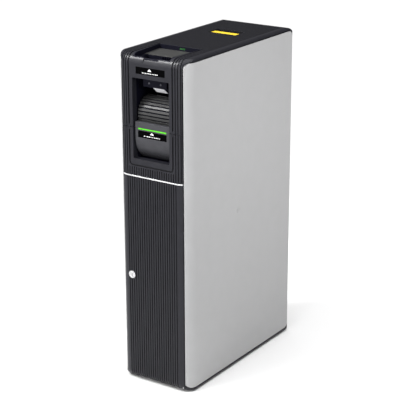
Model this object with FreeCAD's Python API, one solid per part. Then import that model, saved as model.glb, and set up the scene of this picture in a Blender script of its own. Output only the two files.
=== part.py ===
"""Slim free-standing ticket machine.

A sheet-steel chassis carries flush light side panels, a ribbed front door, a tilting head with the
feed tray, a hinged top cover with a yellow pull, and a front bay with a curved ticket shutter.

Frame: millimetres, +Z up, origin on the floor under the middle of the cabinet.
The front faces -Y and the user's right hand is +X. Every sub-part is one file in parts/.
"""
import FreeCAD, Part
import math
import os

V = FreeCAD.Vector

# ---------------------------------------------------------------- driving dimensions
# Overall casing
cabinet_width = 248.0
cabinet_depth = 564.0
cabinet_height = 1000.0
foot_gap = 3.0              # casing stands this far off the floor
front_corner_r = 42.0       # plan radius of the two front corners
rear_corner_r = 6.0
top_edge_r = 28.0           # front and rear top edges, seen from the side
bottom_edge_r = 5.0
bottom_front_r = 28.0       # front bottom edge; shrinks to bottom_edge_r round each corner
side_roll_r = 12.0          # side top edges; the radius grows round each front corner
skin = 4.0                  # moulded cladding thickness

# Light side panels
panel_skin = 3.0
panel_seam_angle = 35.0     # how far round the front corner the panel starts, degrees
panel_top_inset = 11.0
panel_bottom_inset = 11.0
panel_rear_inset = 4.0
panel_corner_r = 18.0
seam_gap = 3.0              # dark joint round a side panel
cap_r = 9.0                 # plug over the panel fixing
cap_y = -18.0
cap_z = 500.0

# Ribs of the cladding
rib_pitch = 8.0
rib_gap = 3.0
rib_depth = 2.4
door_rib_count = 21
head_rib_count = 25

# Heights of the front pieces
joint = 1.2                 # running gap between front pieces
door_bottom = 16.5
door_top = 641.0
trim_height = 3.5
trim_depth = 8.0
head_split = 788.0          # joint between lower bezel and tilting head

# Chassis
wall_sheet = 1.5
fit_gap = 0.3               # clearance where sheet pieces meet
base_floor = 7.2            # thickness of the moulded base under the steel plate
base_sheet = 3.0
shelf_sheet = 2.0
wall_front = 46.0           # side walls start this far behind the front face
wall_top_drop = 15.0
flange = 20.0
foot_r = 14.0
foot_inset_x = 34.0
foot_inset_y = 60.0
floor_bolt_r = 5.5
floor_bolt_x = 150.0        # spacing of the four floor fixings
floor_bolt_y = 360.0

# Front bay
bay_half_width = 62.8
bay_top = 932.0
bay_bottom = 696.5
bay_depth = 122.0
jamb_depth = 20.0
jamb_wall = 2.5
bezel_half_width = 72.5
bezel_bottom = 680.0
moat_width = 5.0            # groove round the bezel
moat_depth = 3.0
liner_wall = 2.0
liner_gap = 1.7             # liner stands outside the bay opening by this much

# Ticket outlet
pod_face = 6.0              # the outlet cover sits this far behind the front face
pod_half_width = 59.0
pod_top = 804.0
pod_bend_z = 755.0
pod_bend_r = 70.0
pod_wall = 3.0
shutter_r = 50.5
shutter_wall = 3.0
shutter_half_width = 58.0
shutter_back = 67.0         # shutter axis behind the front face
shutter_z = 822.0
shutter_low = -24.0         # angle of the front lip from level, degrees
shutter_high = 100.0
shutter_rib_angle = 12.0
shutter_rib_depth = 1.6
shutter_axle_r = 3.0
led_half_width = 48.5
led_z = 785.0
led_height = 4.2
label_half_width = 49.5
label_height = 20.0
label_skin = 0.8
head_label_z = 954.5
pod_label_z = 769.5

# Feed tray in the head
tray_rear = 146.0           # rear rim behind the front face
tray_front = 6.5
tray_rear_half = 73.0
tray_front_half = 62.5
tray_wall = 2.5
tray_plate_drop = 12.0      # plate below the top face
plate_skin = 1.5
pocket_rear = 62.0          # pocket ends this far behind the front face
pocket_half = 54.0
pocket_floor_z = 944.0
head_rear = 151.0           # joint between head and top cover, behind the front face
scoop_half = 25.0           # finger dip in the front rim, flat between two angles of the edge
scoop_low_angle = 5.0
scoop_high_angle = 54.0

# Top cover, pull and hinges
cover_rear = 531.5          # joint between top cover and rear cap, behind the front face
hinge_pin_r = 1.0
hinge_inset = 2.8           # pin axis from the joint edge
hinge_drop = 2.4            # pin axis below the surface
hinge_ear = 3.4
hinge_x = 80.0
bore_gap = 0.05             # radial clearance of a pin in its bore
recess_half = 47.0
recess_front = 362.0        # behind the front face
recess_length = 51.0
recess_depth = 16.0
recess_wall = 2.0
pull_half = 44.0
pull_length = 26.0
pull_thick = 4.5
pull_drop = 1.7
pull_pin_r = 1.5

# Door
pin_socket_depth = 4.5      # lower pin's socket in the skirt, below the door
door_pin_r = 1.5
door_pin_length = 12.0
door_pin_along = 6.0        # pin from the door edge, along the skin
door_pin_deep = 3.3         # pin below the skin's outer tangent
stile_width = 16.0
stile_depth = 12.0
lock_r = 11.5
lock_plug_r = 7.8
lock_edge = 48.4            # lock axis from the side of the casing
lock_z = 338.5
lock_proud = 1.5
lock_length = 22.0
cam_length = 30.0
cam_width = 14.0
cam_skin = 2.5

# Mechanism
roller_r = 8.0
roller_half = 36.0
roller_shaft_r = 3.0
inlet_axis_back = 84.0
inlet_axis_z = 962.0
platen_r = 10.0
platen_back = 190.0
platen_z = 800.0
print_half = 48.0
plate_sheet = 2.0
reel_r = 72.0
reel_half = 40.0
reel_core_r = 13.0
reel_back = 340.0
reel_z = 795.0
spindle_r = 6.0
fan_half = 40.0
fan_depth = 25.0
fan_hub_r = 15.0
fan_z = 880.0
bin_half = 92.0
bin_front = 56.0
bin_length = 330.0
bin_height = 250.0
bin_sheet = 1.5
inlet_half_x = 24.0
inlet_half_z = 14.0
inlet_z = 92.0
switch_z = 128.0

# Fittings of the casing
past = 1.0                  # cutting bodies run on past a face by this much
face_gap = 0.05             # pieces that bear on each other are drawn this far apart
label_sunk = 0.1            # labels lie this far below the face round them
label_gap = 0.2             # clearance round a label or a lamp window
deep_cut = 50.0             # reach of the cuts that open the casing from above
foot_stud_r = 5.0
cap_stem_r = 4.0
cap_proud = 1.2
cap_slot_depth = 0.7
cap_slot_width = 2.0
cap_slot_share = 0.6        # half length of the coin slot over the plug's radius
louvre_count = 14
louvre_low = 330.0
louvre_pitch = 16.0
louvre_height = 5.0
louvre_half = 70.0
fan_rim = 3.0               # round opening inside the fan's square frame
rear_apron = 12.0           # rear cap reaches this far below the top bend
rear_joint = 1.0
rear_web_set = 2.0
rear_web_skin = 2.0
rear_web_drop = 60.0
rear_web_bite = 0.5         # web runs this far into the cap's skin
cover_ear = 6.5             # reach and depth of the cap's two hinge ears
cover_ear_sunk = 0.4
cover_pin_half = 6.0
cover_bore_half = 7.0
cover_nose = 1.2            # cover's rear corner, cut back so it clears the cap
ear_gap = 0.4               # clearance of a hinge ear in its notch
crossbar_set = 4.0
crossbar_width = 20.0
crossbar_skin = 4.0
crossbar_drop = 20.0
magnet_x = 90.0
magnet_half = 12.0
magnet_margin = 3.0

# Fittings of the door and its lock
trim_roof = 1.0             # trim left over the upper door pin
pin_end_gap = 0.2
stile_past_pin = 4.0
pan_inset = 4.0
pan_margin = 12.0
pan_depth = 10.0
pan_sheet = 1.5
lock_ring = 1.5             # the ring overlaps the door by this much
lock_plug_sunk = 0.4
keyway_width = 2.0
keyway_height = 9.0
keyway_depth = 8.0
strike_sheet = 2.0
strike_half = 20.0
strike_reach = 6.0
strike_clear = 4.0
strike_gap = 0.4            # turned cam passes this far behind the strike

# Fittings of the bezel and the head
moat_corner_r = 12.0
bezel_corner_r = 8.0
bay_corner_r = 4.0
bay_top_r = 2.0
jamb_round = 2.0
ear_front = 1.9
ear_back = 3.6
ear_root = 8.0
ear_above = 4.8
foot_rib_stop = 3.0         # ribs under the bezel end this far below its groove
head_pin_half = 5.0
head_bore_half = 8.0
head_nose = 2.2             # head's lower corner, cut back so it clears the bezel
pocket_lip = 1.0
pocket_rib_count = 7
pocket_rib_margin = 6.0
pocket_rib_width = 2.0
pocket_rib_length = 5.0
pocket_rib_lift = 7.0       # above the roller axis
tray_bed_gap = 0.1
plate_set = 1.0             # plate starts this far behind the pocket
feed_slot_margin = 4.0
feed_slot_height = 10.0
lens_width = 18.0
lens_height = 4.5
lens_drop = 4.0
lens_seat_side = 1.0
lens_seat_high = 0.5
lens_seat_back = 0.6        # wall left behind the lens
lens_back_gap = 0.2

# Fittings of the cover's pull
tub_flange = 8.0
tub_flange_skin = 1.5
pull_bore_run = 5.0
pull_axis_in = 6.0
pull_barrel_r = 3.2
pull_under_r = 1.0
pull_edge_r = 1.2
pull_nose_r = 3.1
pull_grip = 4.0
pull_grip_drop = 8.0

# Fittings of the front bay
liner_head = 6.0            # liner's ceiling above the bay
liner_foot = 4.0            # liner's floor below the bay
ticket_margin = 4.0
ticket_slot_height = 12.0
feed_hole_set = 6.0
feed_hole_run = 24.0
pod_back = 22.0             # outlet cover ends this far in front of the shutter's axis
shutter_gap = 1.8
shutter_hub_r = 9.0
led_depth = 2.0
led_proud = 0.4
crease_z = 14.0             # groove across the outlet cover, above the bay's foot
crease_height = 1.5
crease_depth = 1.2
chute_set = 2.0
chute_half = 40.0
chute_wall = 3.0
chute_length = 60.0
chute_drop = 27.0
lip_half = 19.5
lip_back = 40.0
lip_drop = 33.0
lip_run = 18.0
lip_fall = 15.0
lip_skin = 1.5
hanger_skin = 2.0
hanger_width = 3.0
hanger_height = 10.0
screw_x = 20.0
screw_drop = 16.0
screw_r = 3.2
screw_head = 1.6

# Fittings of the mechanism
feed_frame_set = 2.0
feed_frame_clear = 4.0
feed_frame_sheet = 2.0
feed_frame_length = 60.0
feed_frame_head = 1.5
roller_shaft_run = 6.0
print_frame_ahead = 40.0
print_frame_length = 90.0
print_frame_high = 30.0
print_brace_at = 60.0
print_brace_drop = 30.0
print_guide_run = 24.0
print_guide_drop = 12.0
platen_margin = 4.0
platen_shaft_run = 2.0
print_head_depth = 9.0
print_head_height = 24.0
print_head_lug = 1.0
print_lug_margin = 1.0
print_lug_height = 16.0
print_lug_set = 2.0
motor_behind = 28.0
motor_drop = 40.0
motor_r = 18.0
motor_length = 34.0
motor_boss_r = 5.0
motor_boss = 4.0
reel_side_gap = 6.0
reel_post_half = 22.0
reel_post_skin = 3.0
reel_post_above = 12.0
reel_foot = 25.0
spindle_run = 12.0
core_run = 2.0
supply_width = 55.0
supply_start = 60.0
supply_length = 170.0
supply_drop = 60.0
supply_height = 150.0
vent_count = 9
vent_pitch = 14.0
vent_width = 6.0
vent_margin = 20.0
vent_low = 20.0
vent_high = 30.0
control_width = 42.0
control_start = 40.0
control_length = 200.0
control_drop = 50.0
control_height = 180.0
port_count = 6
port_pitch = 26.0
port_width = 16.0
port_height = 14.0
port_margin = 20.0
port_drop = 16.0
port_depth = 6.0
inlet_depth = 26.0
inlet_sunk = 0.5
inlet_gap = 0.2
socket_half_x = 12.0
socket_half_z = 8.0
socket_depth = 18.0
blade_x = 7.0
blade_low = -2.0
blade_high = 3.0
blade_width = 2.0
blade_height = 5.0
blade_sunk = 4.0
blade_root = 20.0
rocker_well_x = 17.0
rocker_well_z = 9.5
rocker_half = 15.0
rocker_pin_half = 20.0
rocker_pin_r = 1.5
rocker_axis = 8.0           # rocker's pin behind the rear face
rocker_back = 12.0
rocker_back_z = 7.0
rocker_edge_z = 8.2
rocker_on = 3.0
rocker_middle = 5.5
rocker_off = 5.8
fan_spoke = 4.0
fan_spoke_skin = 2.5
fan_stator = 4.0
fan_pin_r = 1.5
fan_pin_back = 8.0
fan_hub_back = 4.0
fan_blade_count = 7
fan_blade_set = 2.0
fan_blade_depth = 11.0
fan_blade_skin = 1.6
fan_blade_tip = 5.0
fan_blade_bite = 1.0
fan_blade_lean = 35.0
bin_grip_half = 35.0
bin_grip_height = 25.0
bin_grip_drop = 25.0

# ---------------------------------------------------------------- derived places
half_w = cabinet_width / 2
front = -cabinet_depth / 2
rear = cabinet_depth / 2
top = cabinet_height
seam = math.radians(panel_seam_angle)
seam_x = half_w - front_corner_r + front_corner_r * math.sin(seam)
seam_y = front + front_corner_r - front_corner_r * math.cos(seam)
wall_out = half_w - panel_skin - fit_gap
wall_in = wall_out - wall_sheet
inside = wall_in - fit_gap
trim_low = door_top + joint
pin_bottom = door_bottom - pin_socket_depth
trim_high = trim_low + trim_height
shelf_top = trim_high + fit_gap
shelf_low = shelf_top - shelf_sheet
bezel_low = shelf_top + fit_gap
liner_half = bay_half_width + liner_gap
liner_front = front + jamb_depth + fit_gap
liner_back = front + bay_depth
shutter_y = front + shutter_back
base_low = foot_gap + base_floor + fit_gap
base_top = base_low + base_sheet
cover_front = front + head_rear + joint
cover_back = front + cover_rear
lock_x = -(half_w - lock_edge)
ear_x = bezel_half_width + moat_width / 2
tray_bed = top - tray_plate_drop - plate_skin - tray_bed_gap - tray_wall
liner_top = bay_top + liner_head + liner_wall
inlet_y = front + inlet_axis_back
INLET_AXES = [(inlet_y, inlet_axis_z + side * (roller_r + fit_gap / 2)) for side in (1, -1)]


# ---------------------------------------------------------------- shape helpers
def block(x0, x1, y0, y1, z0, z1):
    return Part.makeBox(x1 - x0, y1 - y0, z1 - z0, V(x0, y0, z0))


def rod_x(x0, x1, y, z, r):
    return Part.makeCylinder(r, x1 - x0, V(x0, y, z), V(1, 0, 0))


def rod_y(x, y0, y1, z, r):
    return Part.makeCylinder(r, y1 - y0, V(x, y0, z), V(0, 1, 0))


def rod_z(x, y, z0, z1, r):
    return Part.makeCylinder(r, z1 - z0, V(x, y, z0), V(0, 0, 1))


def mirror_x(shape):
    return shape.mirror(V(0, 0, 0), V(1, 0, 0))


def both_sides(shape):
    return [shape, mirror_x(shape)]


def at_xy(u, v):
    return V(u, v, 0)


def at_xz(u, v):
    return V(u, 0, v)


def at_yz(u, v):
    return V(0, u, v)


def rounded_rect(u0, u1, v0, v1, radii, place):
    """Face u0..u1 by v0..v1; radii go anticlockwise from the low-low corner."""
    corners = [(u0, v0, 1, 1), (u1, v0, -1, 1), (u1, v1, -1, -1), (u0, v1, 1, -1)]
    edges = []
    stops = []
    for index, ((u, v, du, dv), r) in enumerate(zip(corners, radii)):
        along_v = (u, v + dv * r)
        along_u = (u + du * r, v)
        enter, leave = (along_v, along_u) if index % 2 == 0 else (along_u, along_v)
        bulge = r * (1 - math.sqrt(0.5))
        stops.append((enter, (u + du * bulge, v + dv * bulge), leave, r))
    for index, (enter, middle, leave, r) in enumerate(stops):
        if r > 0:
            edges.append(Part.Arc(place(*enter), place(*middle), place(*leave)).toShape())
        following = stops[(index + 1) % len(stops)][0]
        edges.append(Part.LineSegment(place(*leave), place(*following)).toShape())
    return Part.Face(Part.Wire(edges))


def polygon(points, place):
    corners = [place(*point) for point in points]
    return Part.Face(Part.makePolygon(corners + corners[:1]))


def along_x(face, x0, x1):
    moved = face.copy()
    moved.translate(V(x0, 0, 0))
    return moved.extrude(V(x1 - x0, 0, 0))


def along_y(face, y0, y1):
    moved = face.copy()
    moved.translate(V(0, y0, 0))
    return moved.extrude(V(0, y1 - y0, 0))


def along_z(face, z0, z1):
    moved = face.copy()
    moved.translate(V(0, 0, z0))
    return moved.extrude(V(0, 0, z1 - z0))


def filleted(solid, radius_of):
    """The solid with its edges rounded; radius_of gives an edge's start and end radius."""
    document = FreeCAD.newDocument()
    base = document.addObject("Part::Feature", "base")
    base.Shape = solid
    fillet = document.addObject("Part::Fillet", "fillet")
    fillet.Base = base
    chosen = [(number + 1, radius_of(edge)) for number, edge in enumerate(solid.Edges)]
    fillet.Edges = [(number, *radii) for number, radii in chosen if radii]
    document.recompute()
    return fillet.Shape.copy()


def envelope(inset):
    """Casing shape, its faces moved inwards by inset."""
    w = half_w - inset
    y0 = front + inset
    y1 = rear - inset
    z0 = foot_gap + inset
    z1 = top - inset
    r_front = front_corner_r - inset
    r_rear = max(rear_corner_r - inset, 0)
    r_top = top_edge_r - inset
    r_roll = side_roll_r - inset
    r_low = max(bottom_edge_r - inset, 0)
    r_low_front = bottom_front_r - inset

    def edge_radii(edge):
        ends = [edge.valueAt(edge.FirstParameter), edge.valueAt(edge.LastParameter)]
        if min(end.z for end in ends) > z1 - past:
            return [r_top if end.y < y0 + past else r_roll for end in ends]
        if r_low and max(end.z for end in ends) < z0 + past:
            return [r_low_front if end.y < y0 + past else r_low for end in ends]
        return None

    plan = rounded_rect(-w, w, y0, y1, [r_front, r_front, r_rear, r_rear], at_xy)
    low_front = 0 if r_low else r_low_front
    side = rounded_rect(y0, y1, z0, z1, [low_front, 0, r_top, 0], at_yz)
    return filleted(along_z(plan, z0, z1), edge_radii).common(along_x(side, -w, w))


def beyond_seam(gap):
    """All that lies past the radial seam plane of the front corner, moved forwards by gap."""
    x = half_w - front_corner_r - gap * math.cos(seam)
    y = front + front_corner_r - gap * math.sin(seam)
    reach = cabinet_depth
    outline = polygon([(x, y), (x + reach * math.sin(seam), y - reach * math.cos(seam)),
                       (x + reach, y + reach), (x, y + 2 * reach)], at_xy)
    return along_z(outline, 0, top + skin)


def panel_zone(gap):
    """Room of one side panel with a gap all round; its front end is square to the corner."""
    outline = rounded_rect(
        seam_y - gap * math.sin(seam), rear - panel_rear_inset + gap / 2,
        foot_gap + panel_bottom_inset - gap, top - panel_top_inset + gap,
        [panel_corner_r + gap] * 4, at_yz)
    return along_x(outline, seam_x - front_corner_r, half_w + skin).common(beyond_seam(gap))


OUTER = envelope(0)
CHASSIS = block(-wall_out - fit_gap, wall_out + fit_gap, front + wall_front - fit_gap, rear - skin,
                base_low - fit_gap, top - wall_top_drop + fit_gap)
SKIN = OUTER.cut(envelope(skin)).cut(CHASSIS)
PANEL_CUTS = both_sides(panel_zone(seam_gap))


def cladding(y0, y1, z0, z1):
    """The casing skin between two planes each way, cut back round the side panels."""
    piece = SKIN.common(block(-half_w, half_w, y0, y1, z0, z1))
    return piece.cut(PANEL_CUTS)


def grooves(centres, width, depth):
    """Grooves that run up the front and along the top at the given x places."""
    slabs = [block(x - width / 2, x + width / 2, front - skin, rear, 0, top + skin)
             for x in centres]
    layer = envelope(-skin).cut(envelope(depth))
    return [layer.common(slab) for slab in slabs]


def rib_gaps(count):
    """x places of the gaps between ribs, including the two outside the outermost ribs."""
    start = -count * rib_pitch / 2
    return [start + index * rib_pitch for index in range(count + 1)]


def export(node, shape):
    shape.exportStep(os.path.join("parts", node + ".step"))


def group(solids):
    return Part.makeCompound(solids)


# ---------------------------------------------------------------- base and chassis
def floor_points():
    return [(sx * floor_bolt_x / 2, sy * floor_bolt_y / 2) for sx in (-1, 1) for sy in (-1, 1)]


def foot_points():
    return [(sx * (half_w - foot_inset_x), sy * (rear - foot_inset_y))
            for sx in (-1, 1) for sy in (-1, 1)]


def base_holes(z0, z1):
    holes = [rod_z(x, y, z0, z1, floor_bolt_r) for x, y in floor_points()]
    return holes + [rod_z(x, y, z0, z1, foot_stud_r + bore_gap) for x, y in foot_points()]


def make_base_skirt():
    high = door_bottom - joint
    skirt = OUTER.common(block(-half_w, half_w, front, rear, foot_gap, high)).cut(CHASSIS)
    corner = SKIN.common(block(0, half_w, front, 0, high - past, high + panel_corner_r + seam_gap))
    corner = corner.common(beyond_seam(-joint / 2))
    skirt = skirt.fuse(both_sides(corner))
    well = block(-half_w + front_corner_r, half_w - front_corner_r - stile_width,
                 front + bottom_front_r - skin, front + wall_front, foot_gap + base_floor, high)
    pin = rod_z(*hinge_place(), pin_bottom, door_top, door_pin_r + bore_gap)
    toe = block(-half_w, half_w, front, front + bottom_front_r, 0, high)
    rib_ends = [groove.common(toe) for groove in grooves(rib_gaps(door_rib_count), rib_gap, rib_depth)]
    return skirt.cut(PANEL_CUTS + [well, pin] + rib_ends + base_holes(0, base_top))


def make_base_plate():
    plate = block(-inside, inside, front + wall_front, rear - skin - fit_gap, base_low, base_top)
    tray = block(-inside, inside, front + wall_front, rear - skin - fit_gap, base_top, base_top + flange)
    hollow = block(-inside + wall_sheet, inside - wall_sheet, front + wall_front + wall_sheet,
                   rear - skin - fit_gap - wall_sheet, base_top, base_top + flange)
    return plate.fuse(tray.cut(hollow)).cut(base_holes(0, base_top))


def make_levelling_feet():
    feet = []
    for x, y in foot_points():
        pad = rod_z(x, y, 0, foot_gap - fit_gap, foot_r)
        stud = rod_z(x, y, foot_gap - fit_gap, base_top - fit_gap, foot_stud_r)
        feet.append(pad.fuse(stud))
    return group(feet)


def make_right_wall():
    y0 = front + wall_front
    y1 = rear - rear_corner_r - fit_gap
    z1 = top - wall_top_drop
    wall = block(wall_in, wall_out, y0, y1, base_low, z1)
    lip = block(wall_in - flange, wall_in, y0, y0 + wall_sheet, door_bottom + flange, z1)
    return wall.fuse(lip)


def make_right_panel():
    shell = OUTER.cut(envelope(panel_skin)).common(panel_zone(0))
    return shell.cut(rod_x(0, half_w + skin, cap_y, cap_z, cap_stem_r + bore_gap))


def make_cap():
    """Plug over the panel's fixing screw, with a coin slot across its face."""
    face = half_w + cap_proud
    head = rod_x(half_w, face, cap_y, cap_z, cap_r)
    stem = rod_x(wall_out + 2 * face_gap, half_w, cap_y, cap_z, cap_stem_r)
    slot_half = cap_r * cap_slot_share
    slot = block(face - cap_slot_depth, face + past, cap_y - slot_half, cap_y + slot_half,
                 cap_z - cap_slot_width / 2, cap_z + cap_slot_width / 2)
    return head.fuse(stem).cut(slot)


def make_rear_panel():
    high = top - top_edge_r - rear_apron - rear_joint
    panel = cladding(rear - skin - rear_corner_r, rear, door_bottom, high)
    y0 = rear - skin - past
    y1 = rear + past
    louvres = []
    for row in range(louvre_count):
        z = louvre_low + row * louvre_pitch
        louvres.append(block(-louvre_half, louvre_half, y0, y1, z, z + louvre_height))
    fan_window = rod_y(0, y0, y1, fan_z, fan_half - fan_rim)
    inlet = block(-inlet_half_x, inlet_half_x, y0, y1, inlet_z - inlet_half_z, switch_z + inlet_half_z)
    return panel.cut(louvres + [fan_window, inlet])


def cover_hinge_rods(half, r):
    y = cover_back - hinge_inset
    z = top - hinge_drop
    return [rod_x(x - half, x + half, y, z, r) for x in (-hinge_x, hinge_x)]


def make_rear_cap():
    cap = cladding(cover_back + joint, rear, top - top_edge_r - rear_apron, top)
    web_y = cover_back + joint + rear_web_set
    web = block(-inside, inside, web_y, web_y + rear_web_skin, top - rear_web_drop,
                top - skin + rear_web_bite)
    ears = [block(x - hinge_ear / 2, x + hinge_ear / 2, cover_back - cover_ear, cover_back + joint + past,
                  top - cover_ear, top - cover_ear_sunk) for x in (-hinge_x, hinge_x)]
    return cap.fuse([web] + ears).cut(cover_hinge_rods(cover_bore_half, hinge_pin_r + bore_gap))


def make_cover_pins():
    return group(cover_hinge_rods(cover_pin_half, hinge_pin_r))


def make_top_crossbar():
    y0 = cover_front + crossbar_set
    z1 = top - crossbar_drop
    return block(-inside, inside, y0, y0 + crossbar_width, z1 - crossbar_skin, z1)


def make_magnets():
    y0 = cover_front + crossbar_set + magnet_margin
    y1 = cover_front + crossbar_set + crossbar_width - magnet_margin
    return group([block(x - magnet_half, x + magnet_half, y0, y1, top - crossbar_drop, top - skin - fit_gap)
                  for x in (-magnet_x, magnet_x)])


def make_mid_shelf():
    shelf = block(-inside, inside, front + wall_front, rear - skin - fit_gap, shelf_low, shelf_top)
    tongue = block(-half_w + front_corner_r, half_w - front_corner_r, front + trim_depth + fit_gap,
                   front + wall_front, shelf_low, shelf_top)
    shelf = shelf.fuse(tongue)
    corner_y = front + wall_front + wall_sheet + fit_gap
    corner = block(wall_in - flange - past, half_w, front, corner_y, shelf_low - past, shelf_top + past)
    return shelf.cut(both_sides(corner))


# ---------------------------------------------------------------- front cladding
def hinge_place():
    """Door pin axis: along the skin from the seam edge, then inwards."""
    x = seam_x - door_pin_along * math.cos(seam) - door_pin_deep * math.sin(seam)
    y = seam_y - door_pin_along * math.sin(seam) + door_pin_deep * math.cos(seam)
    return x, y


def make_trim_strip():
    band = OUTER.cut(envelope(trim_depth))
    band = band.common(block(-half_w, half_w, front, front + front_corner_r, trim_low, trim_high))
    pin = rod_z(*hinge_place(), trim_low - past, trim_high - trim_roof, door_pin_r + bore_gap)
    return band.cut(PANEL_CUTS + [pin])


def make_door_pins():
    x, y = hinge_place()
    low = rod_z(x, y, pin_bottom + pin_end_gap, door_bottom + door_pin_length, door_pin_r)
    high = rod_z(x, y, door_top - door_pin_length, trim_high - trim_roof - pin_end_gap, door_pin_r)
    return group([low, high])


def make_door_panel():
    panel = cladding(front, front + front_corner_r, door_bottom, door_top)
    panel = panel.cut(both_sides(beyond_seam(joint / 2)))
    x, y = hinge_place()
    pin_hole = rod_z(x, y, 0, door_top + past, door_pin_r + bore_gap)
    lock_hole = rod_y(lock_x, front - past, front + lock_length, lock_z, lock_r - lock_ring + bore_gap)
    stile_zone = OUTER.common(block(x - stile_width + stile_past_pin, x + stile_past_pin, front,
                                    front + stile_depth, door_bottom, door_top))
    panel = panel.fuse(stile_zone).cut([pin_hole, lock_hole])
    return panel.cut(grooves(rib_gaps(door_rib_count), rib_gap, rib_depth))


def make_door_stiffener():
    """Folded pan behind the door skin."""
    y0 = front + skin + fit_gap
    x0 = -half_w + front_corner_r + pan_inset
    x1 = half_w - front_corner_r
    z0 = door_bottom + pan_margin
    z1 = door_top - pan_margin
    pan = block(x0, x1, y0, y0 + pan_depth, z0, z1)
    hollow = block(x0 + pan_sheet, x1 - pan_sheet, y0 + pan_sheet, y0 + pan_depth + past,
                   z0 + pan_sheet, z1 - pan_sheet)
    clear = rod_y(lock_x, y0 - past, y0 + pan_depth + past, lock_z, lock_r + past)
    return pan.cut([hollow, clear])


def make_lock_barrel():
    back = front - face_gap
    ring = rod_y(lock_x, front - lock_proud, back, lock_z, lock_r)
    barrel = rod_y(lock_x, back, front + lock_length, lock_z, lock_r - lock_ring)
    bore = rod_y(lock_x, front - lock_proud - past, front + lock_length + past, lock_z,
                 lock_plug_r + bore_gap)
    return ring.fuse(barrel).cut(bore)


def make_lock_plug():
    face = front - lock_proud + lock_plug_sunk
    plug = rod_y(lock_x, face, front + lock_length + fit_gap, lock_z, lock_plug_r)
    keyway = block(lock_x - keyway_width / 2, lock_x + keyway_width / 2, face - past, front + keyway_depth,
                   lock_z - keyway_height / 2, lock_z + keyway_height / 2)
    return plug.cut(keyway)


def make_lock_cam():
    """Cam tongue hangs down when unlocked and turns to point at the side wall."""
    y0 = front + lock_length + fit_gap
    tongue = block(lock_x - cam_width / 2, lock_x + cam_width / 2, y0, y0 + cam_skin,
                   lock_z - cam_length, lock_z)
    return tongue.fuse(rod_y(lock_x, y0, y0 + cam_skin, lock_z, cam_width / 2))


def make_strike():
    """Bracket on the left wall lip that the turned cam passes behind."""
    y1 = front + lock_length - strike_gap
    y0 = y1 - strike_sheet
    x0 = lock_x - cam_length - strike_reach
    x1 = lock_x - lock_r - strike_clear
    z0 = lock_z - strike_half
    z1 = lock_z + strike_half
    plate = block(x0, x1, y0, y1, z0, z1)
    return plate.fuse(block(x0, x0 + strike_sheet, y0, front + wall_front - fit_gap, z0, z1))


def moat():
    """Groove round the bezel: two uprights and a foot, with rounded lower corners."""
    layer = envelope(-skin).cut(envelope(moat_depth))
    out = bezel_half_width + moat_width
    ring = rounded_rect(-out, out, bezel_bottom - moat_width, top + skin,
                        [moat_corner_r, moat_corner_r, 0, 0], at_xz)
    island = rounded_rect(-bezel_half_width, bezel_half_width, bezel_bottom, top + skin,
                          [bezel_corner_r, bezel_corner_r, 0, 0], at_xz)
    frame = along_y(ring, front - skin, front + head_rear).cut(
        along_y(island, front - skin, front + head_rear))
    return layer.common(frame)


def bay_hole():
    radii = [bay_corner_r, bay_corner_r, bay_top_r, bay_top_r]
    face = rounded_rect(-bay_half_width, bay_half_width, bay_bottom, bay_top, radii, at_xz)
    return along_y(face, front - skin, front + jamb_depth + past)


def jamb():
    out = bay_half_width + jamb_wall
    radii = [r + jamb_round for r in (bay_corner_r, bay_corner_r, bay_top_r, bay_top_r)]
    face = rounded_rect(-out, out, bay_bottom - jamb_wall, bay_top + jamb_wall, radii, at_xz)
    return along_y(face, front + skin / 2, front + jamb_depth)


def head_pivot():
    """Axis that the head tilts about, along X."""
    return front + hinge_drop, head_split + joint / 2 + hinge_inset


def head_hinge_rods(half, r):
    return [rod_x(x - half, x + half, *head_pivot(), r) for x in (-ear_x, ear_x)]


def ear_block(x, grow):
    y, z = head_pivot()
    return block(x - hinge_ear / 2 - grow, x + hinge_ear / 2 + grow, y - ear_front - grow,
                 y + ear_back + grow, head_split - ear_root, z + ear_above + grow)


def side_rib_gaps():
    return [x for x in rib_gaps(head_rib_count) if abs(x) > bezel_half_width + moat_width]


def foot_rib_gaps():
    return [x for x in rib_gaps(head_rib_count) if abs(x) < bezel_half_width + moat_width]


def make_lower_bezel():
    high = head_split - joint / 2
    shell = cladding(front, front + front_corner_r, bezel_low, high)
    tube = jamb().common(block(-half_w, half_w, front, 0, bezel_low, high))
    floor = block(-half_w + front_corner_r, half_w - front_corner_r, front + skin - past,
                  front + jamb_depth, bezel_low, bezel_low + jamb_wall)
    shell = shell.fuse([tube, floor])
    side = grooves(side_rib_gaps(), rib_gap, rib_depth)
    below = block(-half_w, half_w, front - skin, 0, 0, bezel_bottom - moat_width - foot_rib_stop)
    foot = [cut.common(below) for cut in grooves(foot_rib_gaps(), rib_gap, rib_depth)]
    shell = shell.cut([bay_hole(), moat()] + side + foot)
    ears = [ear_block(x, 0) for x in (-ear_x, ear_x)]
    return shell.fuse(ears).cut(head_hinge_rods(head_bore_half, hinge_pin_r + bore_gap))


def make_head_pins():
    return group(head_hinge_rods(head_pin_half, hinge_pin_r))


def tray_outline(grow):
    return polygon([(-tray_rear_half - grow, front + tray_rear + grow),
                    (tray_rear_half + grow, front + tray_rear + grow),
                    (tray_front_half + grow, front + tray_front - grow),
                    (-tray_front_half - grow, front + tray_front - grow)], at_xy)


def scoop():
    """Finger dip in the middle of the head's front rim."""
    y = front + top_edge_r
    z = top - top_edge_r
    low = math.radians(scoop_low_angle)
    high = math.radians(scoop_high_angle)
    wedge = polygon([(y - top_edge_r * math.cos(low), z + top_edge_r * math.sin(low)),
                     (y - top_edge_r * math.cos(high), z + top_edge_r * math.sin(high)),
                     (y - top_edge_r * math.cos(high), top + skin),
                     (front - skin, top + skin), (front - skin, z)], at_yz)
    return along_x(wedge, -scoop_half, scoop_half)


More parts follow.
